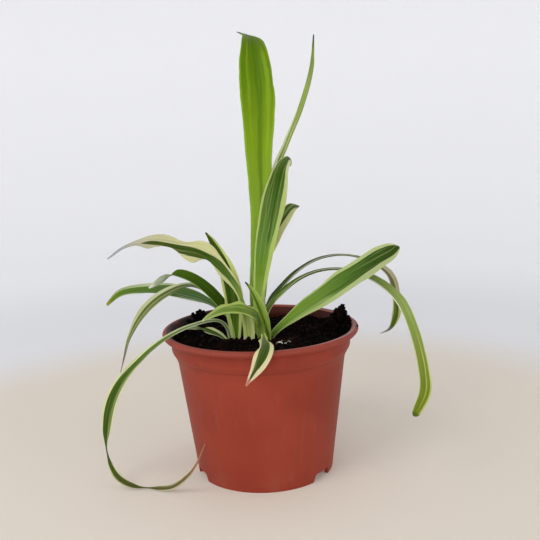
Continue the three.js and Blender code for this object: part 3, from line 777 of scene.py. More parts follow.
# knots: x, y, z of the blade's middle, roll in degrees and half width, foot first
# folds: degrees that each half rises from the middle, at the foot, along the blade and at the tip
# outer: how far each side of the blade reaches, inner: how far its green part does, each in half widths at
# even steps from foot to tip, first on the left, where u is below 0, then on the right
# round: mm in which the tip closes
# height, flare, count and phases: the ruffle's rise in mm, its share of the half width across, how many
# waves it has and where they start on each side
# green and pale: sRGB colours at even steps from foot to tip
# stripes: middle and width across in half widths, start and end along, strength and colour
leafDefaults = {
    "folds": (50, 14, 24), "height": 0.0, "flare": 0.0, "count": 3.0, "phases": (0.0, 0.0),
    "outer": ((1, 1), (1, 1)), "inner": ((0.7, 0.7), (0.7, 0.7)), "round": 0.9,
    "stripes": [], "specks": 0.12, "tip": (134, 112, 82), "tipReach": 0.02,
    "under": (150, 178, 118), "underShare": 0.45, "glow": 0.22,
}
leaves = {
    "leaf_tall": {
        "knots": [
            (-4, 9.6, 81.4, 0, 4), (-0.8, 10, 106, 0, 6.3), (2.7, 10.5, 153, 0, 6.4),
            (3.2, 12, 196, 0, 8.4), (3.8, 15, 230, 0, 11), (2.8, 19.5, 247.5, 0, 10),
            (2, 24.5, 257.5, 12, 7.8), (0.5, 31, 263.6, 35, 6.4), (-3.5, 36.5, 266.2, 40, 3),
            (-8, 40, 268.5, 40, 0.5)],
        "folds": (48, 15, 15), "round": 1.5,
        "outer": ((1, 1), (1, 1, 1, 1, 1, 0.98, 1.03, 1.02, 0.93, 1.1, 1.45)),
        "inner": ((0.6, 0.7, 0.85, 0.9, 0.9), (0.6, 0.7, 0.85, 0.9, 0.88)),
        "green": (
            (206, 228, 118), (158, 190, 76), (146, 176, 56), (128, 158, 18), (96, 128, 4), (92, 118, 10)),
        "pale": ((176, 202, 116), (156, 184, 76), (134, 164, 34), (112, 138, 14)),
        "stripes": [
            (0.1, 0.26, 0.12, 1, 0.6, (72, 108, 0)), (-0.5, 0.12, 0.2, 0.92, 0.45, (142, 170, 34)),
            # the second stripe here, a pale spot on the left edge by the tip, is a painted highlight
            (0.62, 0.2, 0.2, 0.88, 0.5, (150, 180, 40)), (-0.8, 0.22, 0.92, 0.96, 0.5, (170, 186, 120))],
        "tip": (116, 112, 104), "tipReach": 0.035, "under": (128, 156, 60), "glow": 0.35,
    },
    "leaf_centre": {
        "knots": [
            (-3.2, 2, 81.4, 0, 3), (-2, 1, 96, 0, 3.2), (0.8, 0, 114, 0, 4), (4, -2, 134, 0, 5.8),
            (8, -3.5, 153, 0, 7.3), (12, -5, 171, 5, 7), (17, -6, 187, 10, 4.8), (21, -2, 190.5, 20, 3),
            (22, 3, 186, 30, 0.6)],
        "folds": (52, 24, 20), "round": 1.2,
        "outer": (
            (1, 1, 1, 1.1, 1.06, 1.05, 1.03, 1.03, 0.95, 0.8, 0.7),
            (1, 1.05, 1.1, 1.05, 1.06, 1.03, 1, 1.15, 1.08, 0.9, 0.8)),
        "inner": (
            (0.6, 0.72, 0.78, 0.87, 0.9, 0.91, 0.89, 0.87, 0.82, 0.72, 0.5),
            (0.5, 0.5, 0.5, 0.5, 0.58, 0.53, 0.66, 0.7, 0.72, 0.5, -0.3)),
        "green": (
            (220, 234, 146), (184, 210, 98), (118, 156, 42), (104, 140, 58), (84, 116, 42), (60, 92, 14),
            (90, 106, 56)),
        "pale": ((222, 234, 150), (192, 210, 116), (182, 202, 110), (190, 202, 126), (206, 208, 170)),
        "stripes": [
            (-0.52, 0.07, 0.3, 0.95, 0.5, (144, 166, 96)), (0.4, 0.06, 0.25, 0.9, 0.55, (146, 172, 96)),
            (0.14, 0.2, 0.5, 0.92, 0.6, (40, 70, 2)), (-0.03, 0.05, 0.08, 0.6, 0.4, (156, 186, 100)),
            (-0.75, 0.1, 0.5, 0.95, 0.4, (106, 134, 60))],
        "tip": (188, 192, 160), "tipReach": 0.02, "under": (206, 208, 160),
    },
    "leaf_slender": {
        "knots": [
            (2.6, 11.6, 81.4, 0, 1.8), (2.2, 15, 95, 0, 2.4), (2, 17, 112, 0, 2.8),
            (6.5, 17.5, 146, 0, 3.4), (13, 16, 182, 0, 3.6), (20.3, 15.5, 199, 0, 3.2),
            (30, 14, 221, 0, 2.6), (36.4, 14, 242, 0, 2), (38.4, 14, 262.5, 0, 0.4)],
        "folds": (55, 48, 50),
        "inner": ((0.4, 0.4, 0.45, 0.5, 0.6, 1.1, 1.1), (0.8, 0.8, 0.85, 0.85, 0.9, 1.1, 1.1)),
        "green": (
            (196, 212, 130), (146, 176, 78), (126, 156, 72), (102, 128, 38), (168, 184, 96),
            (176, 192, 100), (130, 150, 62)),
        "pale": ((206, 216, 164), (222, 228, 190), (224, 228, 188)),
        "stripes": [
            (0.05, 0.26, 0.5, 0.76, 0.95, (244, 248, 206)), (-0.1, 0.35, 0.74, 0.97, 0.6, (190, 206, 112)),
            # the dark stripe at 0.5 across is painted shade on the blade's right half
            (0.5, 0.22, 0.45, 0.76, 0.7, (92, 118, 36)), (-0.95, 0.2, 0.66, 1, 0.7, (90, 112, 34)),
            (0.95, 0.3, 0.66, 1, 0.75, (90, 112, 34))],
        "tip": (66, 76, 44), "tipReach": 0.03, "under": (132, 164, 72),
    },
    "leaf_short_back": {
        "knots": [
            (1.5, 5.6, 81.4, 0, 2.2), (1.2, 5.2, 104, 0, 2.6), (3.5, 4, 126, 0, 3), (10, 3.5, 143, 0, 5.6),
            (16.5, 4, 154, 0, 6), (22, 5.5, 160.5, 0, 4.3), (26.5, 8, 161.5, 0, 0.6)],
        "folds": (52, 30, 35), "inner": ((0.7, 0.8, 0.95, 0.9), (0.3, 0.1, 0, 0.1)),
        "green": ((176, 200, 96), (104, 134, 48), (64, 90, 12), (84, 104, 54)),
        # the pale colours are the cream margin, raised near white as painted light for the light that
        # shines through the blade
        "pale": ((244, 248, 196), (248, 250, 196), (250, 250, 184), (248, 248, 186)),
        "stripes": [
            (0.45, 0.08, 0.5, 0.95, 0.6, (186, 204, 96)), (-0.4, 0.1, 0.4, 0.9, 0.35, (110, 138, 96))],
        "tip": (110, 118, 80), "tipReach": 0.03,
    },
    "leaf_left_arch": {
        "knots": [
            (-7, -8, 81.4, 0, 4.6), (-7.2, -8, 92, 0, 4.8), (-10.5, -8, 108, 0, 3.5),
            (-17.2, -8, 121.2, -4, 3.9), (-24, -8.5, 132.2, -10, 5), (-32.6, -9, 138.9, -18, 5.7),
            (-46, -11, 142.2, -20, 5.8), (-63, -14, 145.6, -8, 3.9), (-76, -16, 144.2, 0, 1.4),
            (-87, -18, 137.5, 0, 0.5)],
        "folds": (34, 14, 24), "height": 0.6, "flare": 0.2, "count": 4.5, "phases": (0.55, 0.89),
        "outer": (
            (0.9, 0.85, 0.8, 0.65, 0.55, 0.58, 0.62, 0.78, 0.86, 0.81, 0.95, 1.5, 1.25, 0.55, 0.3, 0.6, 1.2,
             0.5, 0.8, 1, 1),
            (0.9, 0.85, 0.8, 0.7, 0.58, 0.56, 0.78, 0.9, 0.92, 0.9, 0.83, 0.8, 0.72, 0.94, 1.05, 1.02, 1.07,
             1.05, 0.9, 1, 1)),
        "inner": (
            (0.75, 0.6, 0.35, 0.18, 0.6, 0.92, 0.82, 0.25, 0.25, -1, -1),
            (0.75, 0.6, 0.4, 0.68, 0.5, 0.08, 0.15, 0.26, 0.25, -1, -1)),
        "green": (
            (226, 236, 150), (160, 182, 90), (86, 114, 42), (58, 84, 14), (60, 80, 18), (74, 84, 24),
            (120, 122, 80)),
        "pale": (
            (226, 232, 164), (206, 216, 142), (206, 212, 142), (214, 212, 154), (214, 210, 156),
            (208, 202, 158), (192, 186, 166), (150, 150, 148)),
        "stripes": [
            (-0.3, 0.1, 0, 0.2, 0.5, (120, 146, 60)), (0.25, 0.1, 0, 0.22, 0.5, (122, 148, 62)),
            (0.68, 0.08, 0, 0.18, 0.4, (128, 152, 70)), (-0.4, 0.05, 0.3, 0.62, 0.35, (112, 136, 66)),
            (-0.7, 0.05, 0.4, 0.6, 0.3, (104, 128, 60))],
        "tip": (168, 170, 172), "tipReach": 0.1, "specks": 0.5, "under": (170, 178, 120),
    },
    "leaf_left_rear": {
        "knots": [
            (-14.5, -4, 81.4, 0, 3.4), (-14.5, -4, 92, 0, 4.6), (-14.5, -4, 105, 0, 6.4),
            (-17, -3, 119, 0, 5.6), (-21, -0.5, 132, 0, 4.2), (-26.5, 3, 142, 0, 2.8),
            (-31, 5, 148, 0, 0.6)],
        "folds": (48, 18, 26),
        "outer": (
            (0.9, 1.2, 1.2, 1.1, 1.02, 1.06, 1.06, 1, 1, 1, 1),
            (0.9, 0.95, 0.85, 0.8, 0.9, 0.95, 1, 0.92, 0.8, 0.8, 0.9)),
        "inner": (
            (0.5, 0.62, 0.68, 0.75, 0.79, 0.8, 0.79, 0.8, 0.9, 1, 1),
            (0.4, 0.45, 0.38, 0.3, 0.35, 0.45, 0.5, 0.49, 0.4, 0.35, 0.5)),
        "green": ((112, 146, 46), (76, 112, 20), (56, 88, 4), (56, 84, 6), (64, 90, 16), (66, 86, 16)),
        "pale": ((206, 222, 134), (206, 218, 126), (214, 218, 132), (214, 220, 142), (166, 176, 98)),
        "stripes": [(0.05, 0.06, 0, 0.45, 0.55, (130, 166, 56)), (-0.3, 0.05, 0, 0.4, 0.4, (112, 150, 46))],
        "tip": (84, 88, 50), "tipReach": 0.02,
    },
    "leaf_left_dark": {
        "knots": [
            (-11, 3, 81.4, 0, 2.6), (-14, 3, 91, 0, 3), (-22.5, 3, 103, 0, 3.6), (-31.5, 3, 113.5, 0, 3.7),
            (-40.5, 3.5, 120.5, 0, 3.5), (-49, 4, 123.5, 5, 3.1), (-55.5, 5, 122, 80, 2.4),
            (-61.5, 6, 118.5, 145, 2.1), (-68, 7, 114.5, 160, 0.6)],
        "inner": ((0.9, 0.92, 0.95), (0.92, 0.95, 0.95, 0.85)),
        # the darkest greens, a quarter to half way along, are partly painted shade
        "green": ((70, 100, 20), (46, 70, 2), (58, 86, 4), (76, 106, 8), (86, 114, 14)),
        "pale": ((150, 178, 88), (140, 172, 76), (214, 218, 190)),
        "stripes": [(0.2, 0.06, 0.2, 0.7, 0.3, (86, 116, 24)), (-0.4, 0.08, 0.2, 0.7, 0.3, (36, 64, 0))],
        "tip": (222, 224, 206), "tipReach": 0.05, "under": (176, 184, 160), "underShare": 0.85,
    },
    "leaf_left_low": {
        "knots": [
            (-10.5, 10, 81.4, 0, 2.4), (-14, 11, 88.6, 0, 2.6), (-22, 12.5, 95.8, 0, 2.9),
            (-34.5, 13.5, 104.4, 0, 3.7), (-50, 15, 109.6, 0, 4.6), (-68.5, 15, 112.4, 0, 3.8),
            (-86, 14, 110.8, 0, 2.7), (-96, 14, 103, 0, 1)],
        "round": 1.6,
        "outer": (
            (1, 1, 0.6, 0.5, 1.04, 1.05, 0.95, 0.92, 1.2, 1.15, 0.8),
            (1, 1, 0.8, 0.7, 0.93, 1, 1.14, 1.08, 1, 1.2, 1.4)),
        "inner": (
            (0.9, 0.95, 0.95, 0.95, 0.92, 0.95, 1, 1, 1, 1, 1),
            (0.8, 0.8, 0.8, 0.8, 0.85, 0.85, 0.82, 0.6, 0.6, 0.75, 1)),
        "green": (
            (106, 136, 84), (88, 118, 64), (90, 122, 68), (96, 126, 60), (86, 118, 38), (108, 132, 28)),
        "pale": ((206, 218, 186), (212, 220, 190), (208, 216, 178), (150, 166, 100)),
        "stripes": [
            (-0.35, 0.06, 0.12, 0.55, 0.6, (186, 200, 168)), (0.2, 0.05, 0.1, 0.5, 0.4, (136, 162, 116)),
            (-0.7, 0.08, 0.12, 0.5, 0.6, (194, 208, 176)), (0.5, 0.05, 0.1, 0.55, 0.3, (128, 156, 108))],
        "tip": (150, 150, 54), "tipReach": 0.035, "under": (160, 184, 140),
    },
    "leaf_left_narrow": {
        "knots": [
            (-13.5, 6.5, 81.4, 0, 1.8), (-18, 7.2, 92, 0, 1.8), (-29.2, 9.5, 108, 0, 2),
            (-42.5, 8, 115.1, 0, 2.8), (-55.3, 4, 112.4, 0, 3.8), (-68.7, -2, 103.5, 0, 3.7),
            (-79.4, -7, 87.6, 0, 2.3), (-83, -9, 76, 0, 1.4), (-85.6, -11, 66.5, 0, 0.5)],
        "folds": (50, 28, 20),
        "outer": (
            (1, 1, 1, 0.5, 0.5, 0.9, 1.1, 0.8, 0.65, 0.45, 0.3),
            (1, 1, 1, 0.8, 0.75, 0.92, 0.97, 1, 0.66, 0.45, 0.3)),
        "inner": ((0.9, 0.9), (0.5, 0.5, 0.5, 0.45, 0.4, 0.44, 0.5, 0.5, 0.33, 0.28, 0.2)),
        # the grey-white cast of the green and pale colours in the first half of the blade is partly painted
        # sheen over its own whitish olive
        "green": (
            (150, 168, 100), (142, 156, 112), (116, 130, 86), (118, 132, 74), (124, 130, 74),
            (128, 122, 98)),
        "pale": ((214, 218, 190), (218, 220, 200), (208, 212, 170), (200, 202, 156), (172, 162, 142)),
        "stripes": [
            (-0.6, 0.26, 0.42, 0.95, 0.7, (98, 106, 54)), (-0.15, 0.2, 0.4, 0.9, 0.5, (186, 192, 142)),
            (0.26, 0.22, 0.42, 0.92, 0.85, (92, 106, 40))],
        "tip": (124, 112, 102), "tipReach": 0.1,
    },
    "leaf_left_trailing": {
        "knots": [
            (-18.5, 1, 81.4, 0, 2), (-20, 0.5, 88, 0, 1.8), (-25, -4, 94.5, 0, 1.6),
            (-39, -18, 96.2, 0, 1.5), (-55, -33, 92, 0, 1.7), (-67.6, -35, 82.6, 0, 2.9),
            (-81.6, -32, 67.4, 0, 4.2), (-88.7, -30, 54.4, 0, 4.4), (-92.8, -28, 38, 5, 3.3),
            (-93.8, -28, 23.5, 35, 1.7), (-88.5, -30, 9, 0, 1.8), (-79, -32, 3.2, -8, 1.5),
            (-67, -33, 1.7, -10, 1.4), (-56, -36, 3, -8, 1.4), (-46.5, -42, 11, 0, 1.4),
            (-39.5, -47, 21, 0, 1.2), (-33, -52, 36, 0, 0.5)],
        "folds": (45, 16, 12),
        "outer": (
            (1, 1, 1, 1, 0.8, 0.65, 0.5, 0.7, 0.93, 1, 1, 0.8, 0.25, 1.1, 1.2, 0.3, 1.4, 1.2, 0.7, 0.5,
             0.5),
            (1, 1, 1, 1, 1.1, 1.05, 1, 0.92, 0.85, 0.95, 1, 0.8, 0.25, 1.1, 1.3, 0.3, 1.4, 1.2, 0.7, 0.5,
             0.5)),
        "inner": (
            (0.6, 0.6, 0.6, 0.6, 0.75, 0.78, 0.75, 1, 0.95, 0.6, 0.5),
            (0.6, 0.6, 0.65, 0.55, 0.58, 0.7, 0.75, 1.1, 1, 0.6, 0.5)),
        "green": (
            (150, 166, 124), (130, 146, 100), (94, 120, 50), (66, 92, 22), (62, 88, 18), (78, 84, 30),
            (110, 100, 56), (150, 116, 84)),
        "pale": (
            (196, 206, 160), (208, 216, 172), (224, 226, 172), (228, 228, 180), (212, 204, 168),
            (190, 146, 110)),
        "stripes": [
            (-0.55, 0.3, 0.28, 0.58, 0.7, (142, 156, 92)), (0.1, 0.12, 0.3, 0.55, 0.4, (56, 84, 12))],
        "tip": (172, 122, 92), "tipReach": 0.08, "under": (96, 112, 52),
    },
    "leaf_left_soil": {
        "knots": [
            (-20, -3, 81.4, 0, 1.2), (-25, -1, 85.2, 0, 2), (-32, 3, 87.2, 0, 2.3), (-39, 6.5, 88, 20, 1.6),
            (-50, 5, 88.2, 20, 0.6)],
        "outer": (
            (1, 1, 1, 1, 1.1, 0.9, 0.25, 1.1, 1.2, 1, 1),
            (1, 1, 1, 1, 1.1, 0.9, 0.25, 1.1, 1.2, 1, 1)),
        "inner": ((0.9, 0.92, 0.95, 0.7), (0.2, 0.35, 0.85, 0.3)),
        "green": ((76, 98, 34), (54, 76, 14), (60, 86, 18), (120, 136, 84), (128, 136, 98)),
        "pale": ((200, 208, 150), (204, 210, 156), (184, 190, 146), (156, 164, 124)),
        "tip": (150, 160, 112), "tipReach": 0.2,
    },
    "leaf_front_arch": {
        "knots": [
            (0, -3, 81.4, 0, 2.8), (0.2, -5, 91, 0, 3), (-1.4, -9.5, 97.5, 0, 3.4),
            (-6, -14, 102.3, 0, 4.1), (-13, -17.5, 105.2, 0, 4.1), (-22, -20.5, 104.8, 0, 3.3),
            (-28.5, -22, 102.3, 0, 2.1), (-33.5, -23, 99.5, 0, 0.6)],
        "height": 0.4, "flare": 0.12, "count": 5, "phases": (0.1, 0.4), "round": 0.8,
        "inner": ((0.9, 0.85, 0.75, 0.5, 0.2), (0.9, 0.75, 0.7, 0.5, 0.3)),
        "green": (
            (190, 214, 106), (150, 176, 76), (136, 160, 70), (104, 134, 44), (120, 144, 64),
            (140, 156, 94)),
        "pale": ((196, 216, 120), (204, 216, 128), (170, 188, 98), (166, 180, 110)),
        "stripes": [
            (0.3, 0.25, 0.25, 0.7, 0.4, (164, 186, 108)), (-0.3, 0.1, 0.2, 0.8, 0.3, (104, 134, 50))],
        "tip": (196, 206, 140), "tipReach": 0.03, "under": (150, 184, 90),
    },
    "leaf_spike": {
        "knots": [
            (5, -5.5, 81.4, 0, 2.6), (4, -8.5, 91, 0, 3.6), (2, -11.5, 99, 0, 4.4),
            (-0.5, -14, 107, 0, 4.2), (-4, -16, 115, 0, 2.8), (-7.6, -18, 121, 0, 0.5)],
        "folds": (58, 55, 55), "inner": ((1, 1), (0.9, 0.7, 0.8)),
        "green": ((150, 176, 74), (132, 164, 38), (122, 152, 32), (112, 140, 50)),
        "pale": ((180, 206, 104), (190, 212, 116)),
        # the dark stripe on the left half is painted shade and the pale one on the right half is painted
        # light, for the folded blade's shaded and lit sides
        "stripes": [(-0.5, 0.4, 0.1, 1, 0.6, (86, 124, 8)), (0.55, 0.5, 0.15, 1, 0.8, (196, 220, 112))],
        "tip": (74, 76, 50), "tipReach": 0.06, "under": (112, 152, 40),
    },
    "leaf_front_drape": {
        "knots": [
            (1.5, -10, 81.4, 0, 1.6), (1.5, -13.5, 87, 0, 1.4), (2, -24, 90.5, 0, 1.4),
            (2.6, -40, 91.8, 0, 2.2), (3.3, -53, 92.4, 0, 3.8), (2.3, -61.5, 89.8, 0, 4.8),
            (-2, -65.5, 82, 0, 3.6), (-8, -65.5, 73, 0, 0.6)],
        "height": 0.4, "flare": 0.14, "count": 4, "phases": (0.6, 0.2),
        "outer": (
            (1, 1, 1, 1, 0.8, 0.75, 0.9, 1, 1.15, 0.75, 0.7),
            (1, 1, 1, 1, 1.2, 1.2, 1, 0.86, 1, 1.12, 1.3)),
        "inner": (
            (0.5, 0.5, 0.5, 0.5, 0.5, 0.53, 0.56, 0.5, 0.4, -0.1, -0.6),
            (0.6, 0.6, 0.6, 0.6, 0.6, 0.62, 0.68, 0.65, 0.6, 0.6, 0.3)),
        "green": (
            (180, 196, 120), (160, 178, 100), (100, 122, 54), (76, 96, 40), (54, 78, 10), (74, 80, 28)),
        "pale": ((196, 212, 120), (204, 214, 128), (214, 212, 140), (226, 216, 166), (230, 214, 178)),
        "stripes": [(0.42, 0.2, 0.5, 0.9, 0.5, (98, 112, 56)), (-0.1, 0.14, 0.55, 0.9, 0.4, (48, 72, 20))],
        "tip": (196, 128, 106), "tipReach": 0.05,
    },
    "leaf_right_broad": {
        "knots": [
            (6, -1, 81.4, 0, 2.4), (10, -3, 86.5, 0, 2.9), (19.6, -6, 95.4, 0, 4.1),
            (34.6, -12, 107.2, 0, 6.6), (49.4, -18, 118.4, 0, 8.3), (60.2, -23, 126.6, 0, 8.4),
            (69.2, -27, 132.8, 0, 7.8), (76.4, -30, 137, 0, 6.4), (80.6, -32, 140.2, 0, 2.8)],
        "height": 0.4, "flare": 0.05, "count": 3.5, "phases": (0.2, 0.6), "round": 2.5,
        "outer": (
            (1.2, 1.15, 1.09, 1.05, 1.03, 0.99, 0.94, 0.97, 1, 1.04, 1),
            (0.8, 0.85, 1.1, 1, 1.07, 1.05, 1, 0.98, 1.12, 1.05, 1)),
        "inner": (
            (1, 0.97, 0.94, 0.93, 0.87, 0.81, 0.77, 0.7, 0.74, 0.8, 0.8),
            (0.75, 0.7, 0.66, 0.66, 0.66, 0.58, 0.52, 0.48, 0.44, 0.34, 0.4)),
        "green": (
            (122, 152, 62), (122, 158, 48), (112, 146, 52), (86, 120, 40), (50, 82, 12), (54, 76, 16)),
        "pale": ((176, 194, 122), (184, 200, 130), (186, 200, 130), (190, 202, 142), (196, 204, 146)),
        "stripes": [
            (0.45, 0.3, 0.08, 0.5, 0.6, (164, 190, 112)), (0.05, 0.07, 0.1, 0.6, 0.25, (130, 158, 90)),
            (-0.5, 0.06, 0.3, 0.8, 0.2, (110, 140, 66)), (0.2, 0.14, 0.45, 0.95, 0.4, (42, 74, 8))],
        "tip": (96, 92, 60), "tipReach": 0.004, "under": (150, 180, 110),
    },
    "leaf_right_arch": {
        "knots": [
            (4.4, 7.4, 81.4, 0, 1.8), (4.2, 7.2, 96, -10, 2), (7.4, 9.2, 104, -20, 2.4),
            (12.7, 13, 109.5, -30, 2.6), (24.5, 20, 119.5, -44, 2.9), (38, 28, 125.2, -46, 3.1),
            (53, 37, 126, -46, 3.2), (66, 45, 122.6, -35, 3.4), (80, 52, 115, -15, 3.5),
            (89, 58, 106, 0, 3.2), (93.5, 62.5, 92, 0, 2.7), (93.5, 64.5, 76, 0, 2.6),
            (89, 63.5, 68, 0, 1.6), (82, 61, 65.5, 0, 0.5)],
        "folds": (50, 13, 24),
        "outer": (
            (1, 1, 1, 1, 1, 0.8, 0.85, 1.2, 1.1, 1.15, 0.5),
            (1, 1, 1, 1, 1, 0.9, 0.8, 0.9, 1.1, 1.15, 0.5)),
        "inner": ((0.9, 0.9, 0.9, 0.85, 0.3, 0.4, 1), (0.8, 0.5, 0.4, 0.5, 0.7, 0.8, 0.8)),
        "green": (
            (70, 100, 24), (72, 98, 34), (86, 96, 58), (104, 110, 82), (116, 116, 76), (84, 108, 30),
            (72, 106, 6)),
        "pale": ((190, 204, 150), (204, 210, 184), (196, 192, 162), (186, 172, 142), (206, 210, 140)),
        "stripes": [
            (-0.85, 0.3, 0.12, 0.45, 0.8, (60, 64, 32)), (-0.85, 0.2, 0.42, 0.6, 0.6, (88, 80, 78)),
            (-0.85, 0.25, 0.64, 0.82, 0.5, (170, 150, 130))],
        "tip": (150, 148, 148), "tipReach": 0.04, "under": (112, 132, 84),
    },
    "leaf_right_hanging": {
        "knots": [
            (3.4, 2.6, 81.4, 0, 1.8), (3.6, 2.6, 95, 0, 2), (8.2, 3, 103.3, -15, 2.4),
            (14, 3.5, 109.3, -28, 2.7), (24, 4, 117, -44, 2.9), (36, 2, 122.2, -48, 3.1),
            (50, -4, 124, -42, 3.3), (67.5, -16, 120, -5, 3.2), (81, -26, 109, 0, 3.5),
            (88.5, -33, 91, 0, 3.4), (92.5, -38, 70.5, 0, 3.2), (92.5, -41, 58, 0, 3.1),
            (86, -43, 44, 0, 1.8)],
        "folds": (50, 13, 20), "round": 3.4,
        "outer": (
            (1, 1, 1, 1, 0.9, 0.82, 0.86, 0.94, 1, 1.25, 1.7),
            (1, 1, 1, 1, 0.9, 0.82, 0.86, 0.94, 1, 1, 1)),
        "inner": ((0.95, 0.95, 0.95, 0.84, 0.86, 0.88, 1.2), (0.9, 0.8, 0.85, 0.6, 0.75, 0.85, 0.85)),
        "green": (
            (112, 140, 48), (104, 134, 50), (64, 88, 32), (130, 148, 78), (144, 162, 82), (124, 140, 46),
            (112, 128, 12)),
        "pale": (
            (196, 210, 140), (190, 200, 150), (210, 214, 186), (228, 230, 216), (222, 226, 192),
            (196, 202, 124), (190, 198, 110)),
        "stripes": [
            (-0.36, 0.14, 0.76, 0.97, 0.8, (190, 194, 112)), (-0.85, 0.4, 0.1, 0.4, 0.75, (52, 66, 20)),
            (-0.3, 0.08, 0.4, 0.6, 0.35, (160, 170, 106)), (0.5, 0.3, 0.05, 0.35, 0.5, (36, 62, 14))],
        "tip": (86, 96, 30), "tipReach": 0.012, "under": (138, 158, 76),
    },
}


def carry(values, along):
    # Value: a cubic between neighbouring values whose slopes are half the difference of the values around
    last = len(values) - 1
    first = np.clip(along.astype(int), 0, last - 1)
    t = (along - first).reshape((-1,) + (1,) * (values.ndim - 1))
    before, start, end, after = (values[np.clip(first + step, 0, last)] for step in (-1, 0, 1, 2))
    leave, arrive = (end - before) / 2, (after - start) / 2
    rise = ((2 * start - 2 * end + leave + arrive) * t + 3 * end - 3 * start - 2 * leave - arrive) * t
    return (rise + leave) * t + start


def spine(knots, shares):
    # Spine: a centripetal Catmull-Rom curve through the knots, read at shares of its length
    places = knots[:, :3]
    last = len(places) - 1
    padded = np.vstack([2 * places[0] - places[1], places, 2 * places[-1] - places[-2]])
    gaps = np.sqrt(np.linalg.norm(np.diff(padded, axis=0), axis=1))[:, None]

    def read(along):
        first = np.minimum(along.astype(int), last - 1)
        t = (along - first)[:, None]
        p0, p1, p2, p3 = (padded[first + step] for step in range(4))
        d0, d1, d2 = (gaps[first + step] for step in range(3))
        leave = ((p1 - p0) / d0 - (p2 - p0) / (d0 + d1) + (p2 - p1) / d1) * d1
        arrive = ((p2 - p1) / d1 - (p3 - p1) / (d1 + d2) + (p3 - p2) / d2) * d1
        a, b = 2 * p1 - 2 * p2 + leave + arrive, -3 * p1 + 3 * p2 - 2 * leave - arrive
        return ((a * t + b) * t + leave) * t + p1, (3 * a * t + 2 * b) * t + leave

    fine = np.linspace(0, last, 60 * last + 1)
    steps = np.linalg.norm(np.diff(read(fine)[0], axis=0), axis=1)
    length = np.concatenate([[0], np.cumsum(steps)])
    along = np.interp(shares * length[-1], length, fine)
    points, ahead = read(along)
    ahead /= np.linalg.norm(ahead, axis=1, keepdims=True)
    carried = carry(knots[:, 3:], along)
    return points, ahead, carried[:, 0], carried[:, 1], length[-1]


def bySide(sides, u, shares):
    left, right = (carry(np.array(side, float), shares * (len(side) - 1))[:, None] for side in sides)
    return np.where(u < 0, left, right)


def leafRows(leaf):
    # Rows: a fixed step apart along the spine, and closer in the last bit before the tip, where the half
    # width closes as a quarter circle. Each row's face looks forward and up, square to the spine, turned
    # by its roll.
    knots = np.array(leaf["knots"], float)
    length = spine(knots, np.array([0.0]))[4]
    closing = leaf["round"] / length
    end = 1 - closing * (1 - np.sin(np.linspace(0, math.pi / 2, blade["tipRows"] + 1)[1:]))
    shares = np.concatenate([np.linspace(0, 1 - closing, int(length / blade["rowLength"])), end])
    points, ahead, roll, half, length = spine(knots, shares)
    outlook = np.array([0, -1, 1]) / math.sqrt(2)
    face = outlook - (ahead @ outlook)[:, None] * ahead
    face /= np.linalg.norm(face, axis=1, keepdims=True)
    turn = np.radians(roll)[:, None]
    face = face * np.cos(turn) + np.cross(ahead, face) * np.sin(turn)
    tipward = np.clip((1 - shares) / closing, 0, 1)
    closure = np.maximum(np.sqrt(1 - (1 - tipward) ** 2), blade["narrowest"])[:, None]
    return {"shares": shares, "points": points, "ahead": ahead, "face": face, "length": length,
            "half": half[:, None] * closure, "closure": closure}


def leafSheet(name, leaf, rows, u, v):
    # Surface: a point at share s of the length and u from -1 to 1 across, with v = u * outer(s), lies at
    # spine + W * half * (v * cos fold + u * flare * ruffle) + N * (half * sin fold * (|v|^1.25 - 0.45)
    # + height * ruffle), where N is the row's face, W lies across the blade, and ruffle is
    # sin(pi * s)^0.7 * u^2 * sin(2 * pi * (count * s + phase)). Lattice noise makes the edges uneven.
    s, half = rows["shares"][:, None], rows["half"]
    foot, middle, tip = (math.radians(angle) for angle in leaf["folds"])
    fold = foot + (middle - foot) * smooth(s, 0, blade["openBy"])
    fold = fold + (tip - middle) * smooth(s, blade["closeFrom"], 1)
    phase = np.where(u < 0, *leaf["phases"])
    swell = np.sin(math.pi * s) ** blade["ruffleSwell"] * u ** 2
    ruffle = swell * np.sin(fullTurn * (leaf["count"] * s + phase))
    lift = half * np.sin(fold) * (np.abs(v) ** blade["ribSoftness"] - blade["channelMiddle"])
    lift = lift + leaf["height"] * ruffle
    spread = half * (v * np.cos(fold) + u * leaf["flare"] * ruffle)
    seed = sum(ord(letter) for letter in name)
    for order, (cell, row, power, up, aside) in enumerate(blade["unevenness"]):
        wave = latticeNoise(s * rows["length"], np.sign(u) * row + 0 * s, cell, seed + order)
        wave = wave * np.abs(u) ** power
        lift = lift + half * up * wave
        spread = spread + half * u * aside * wave
    across, face = np.cross(rows["ahead"], rows["face"])[:, None], rows["face"][:, None]
    return rows["points"][:, None] + across * spread[..., None] + face * lift[..., None]


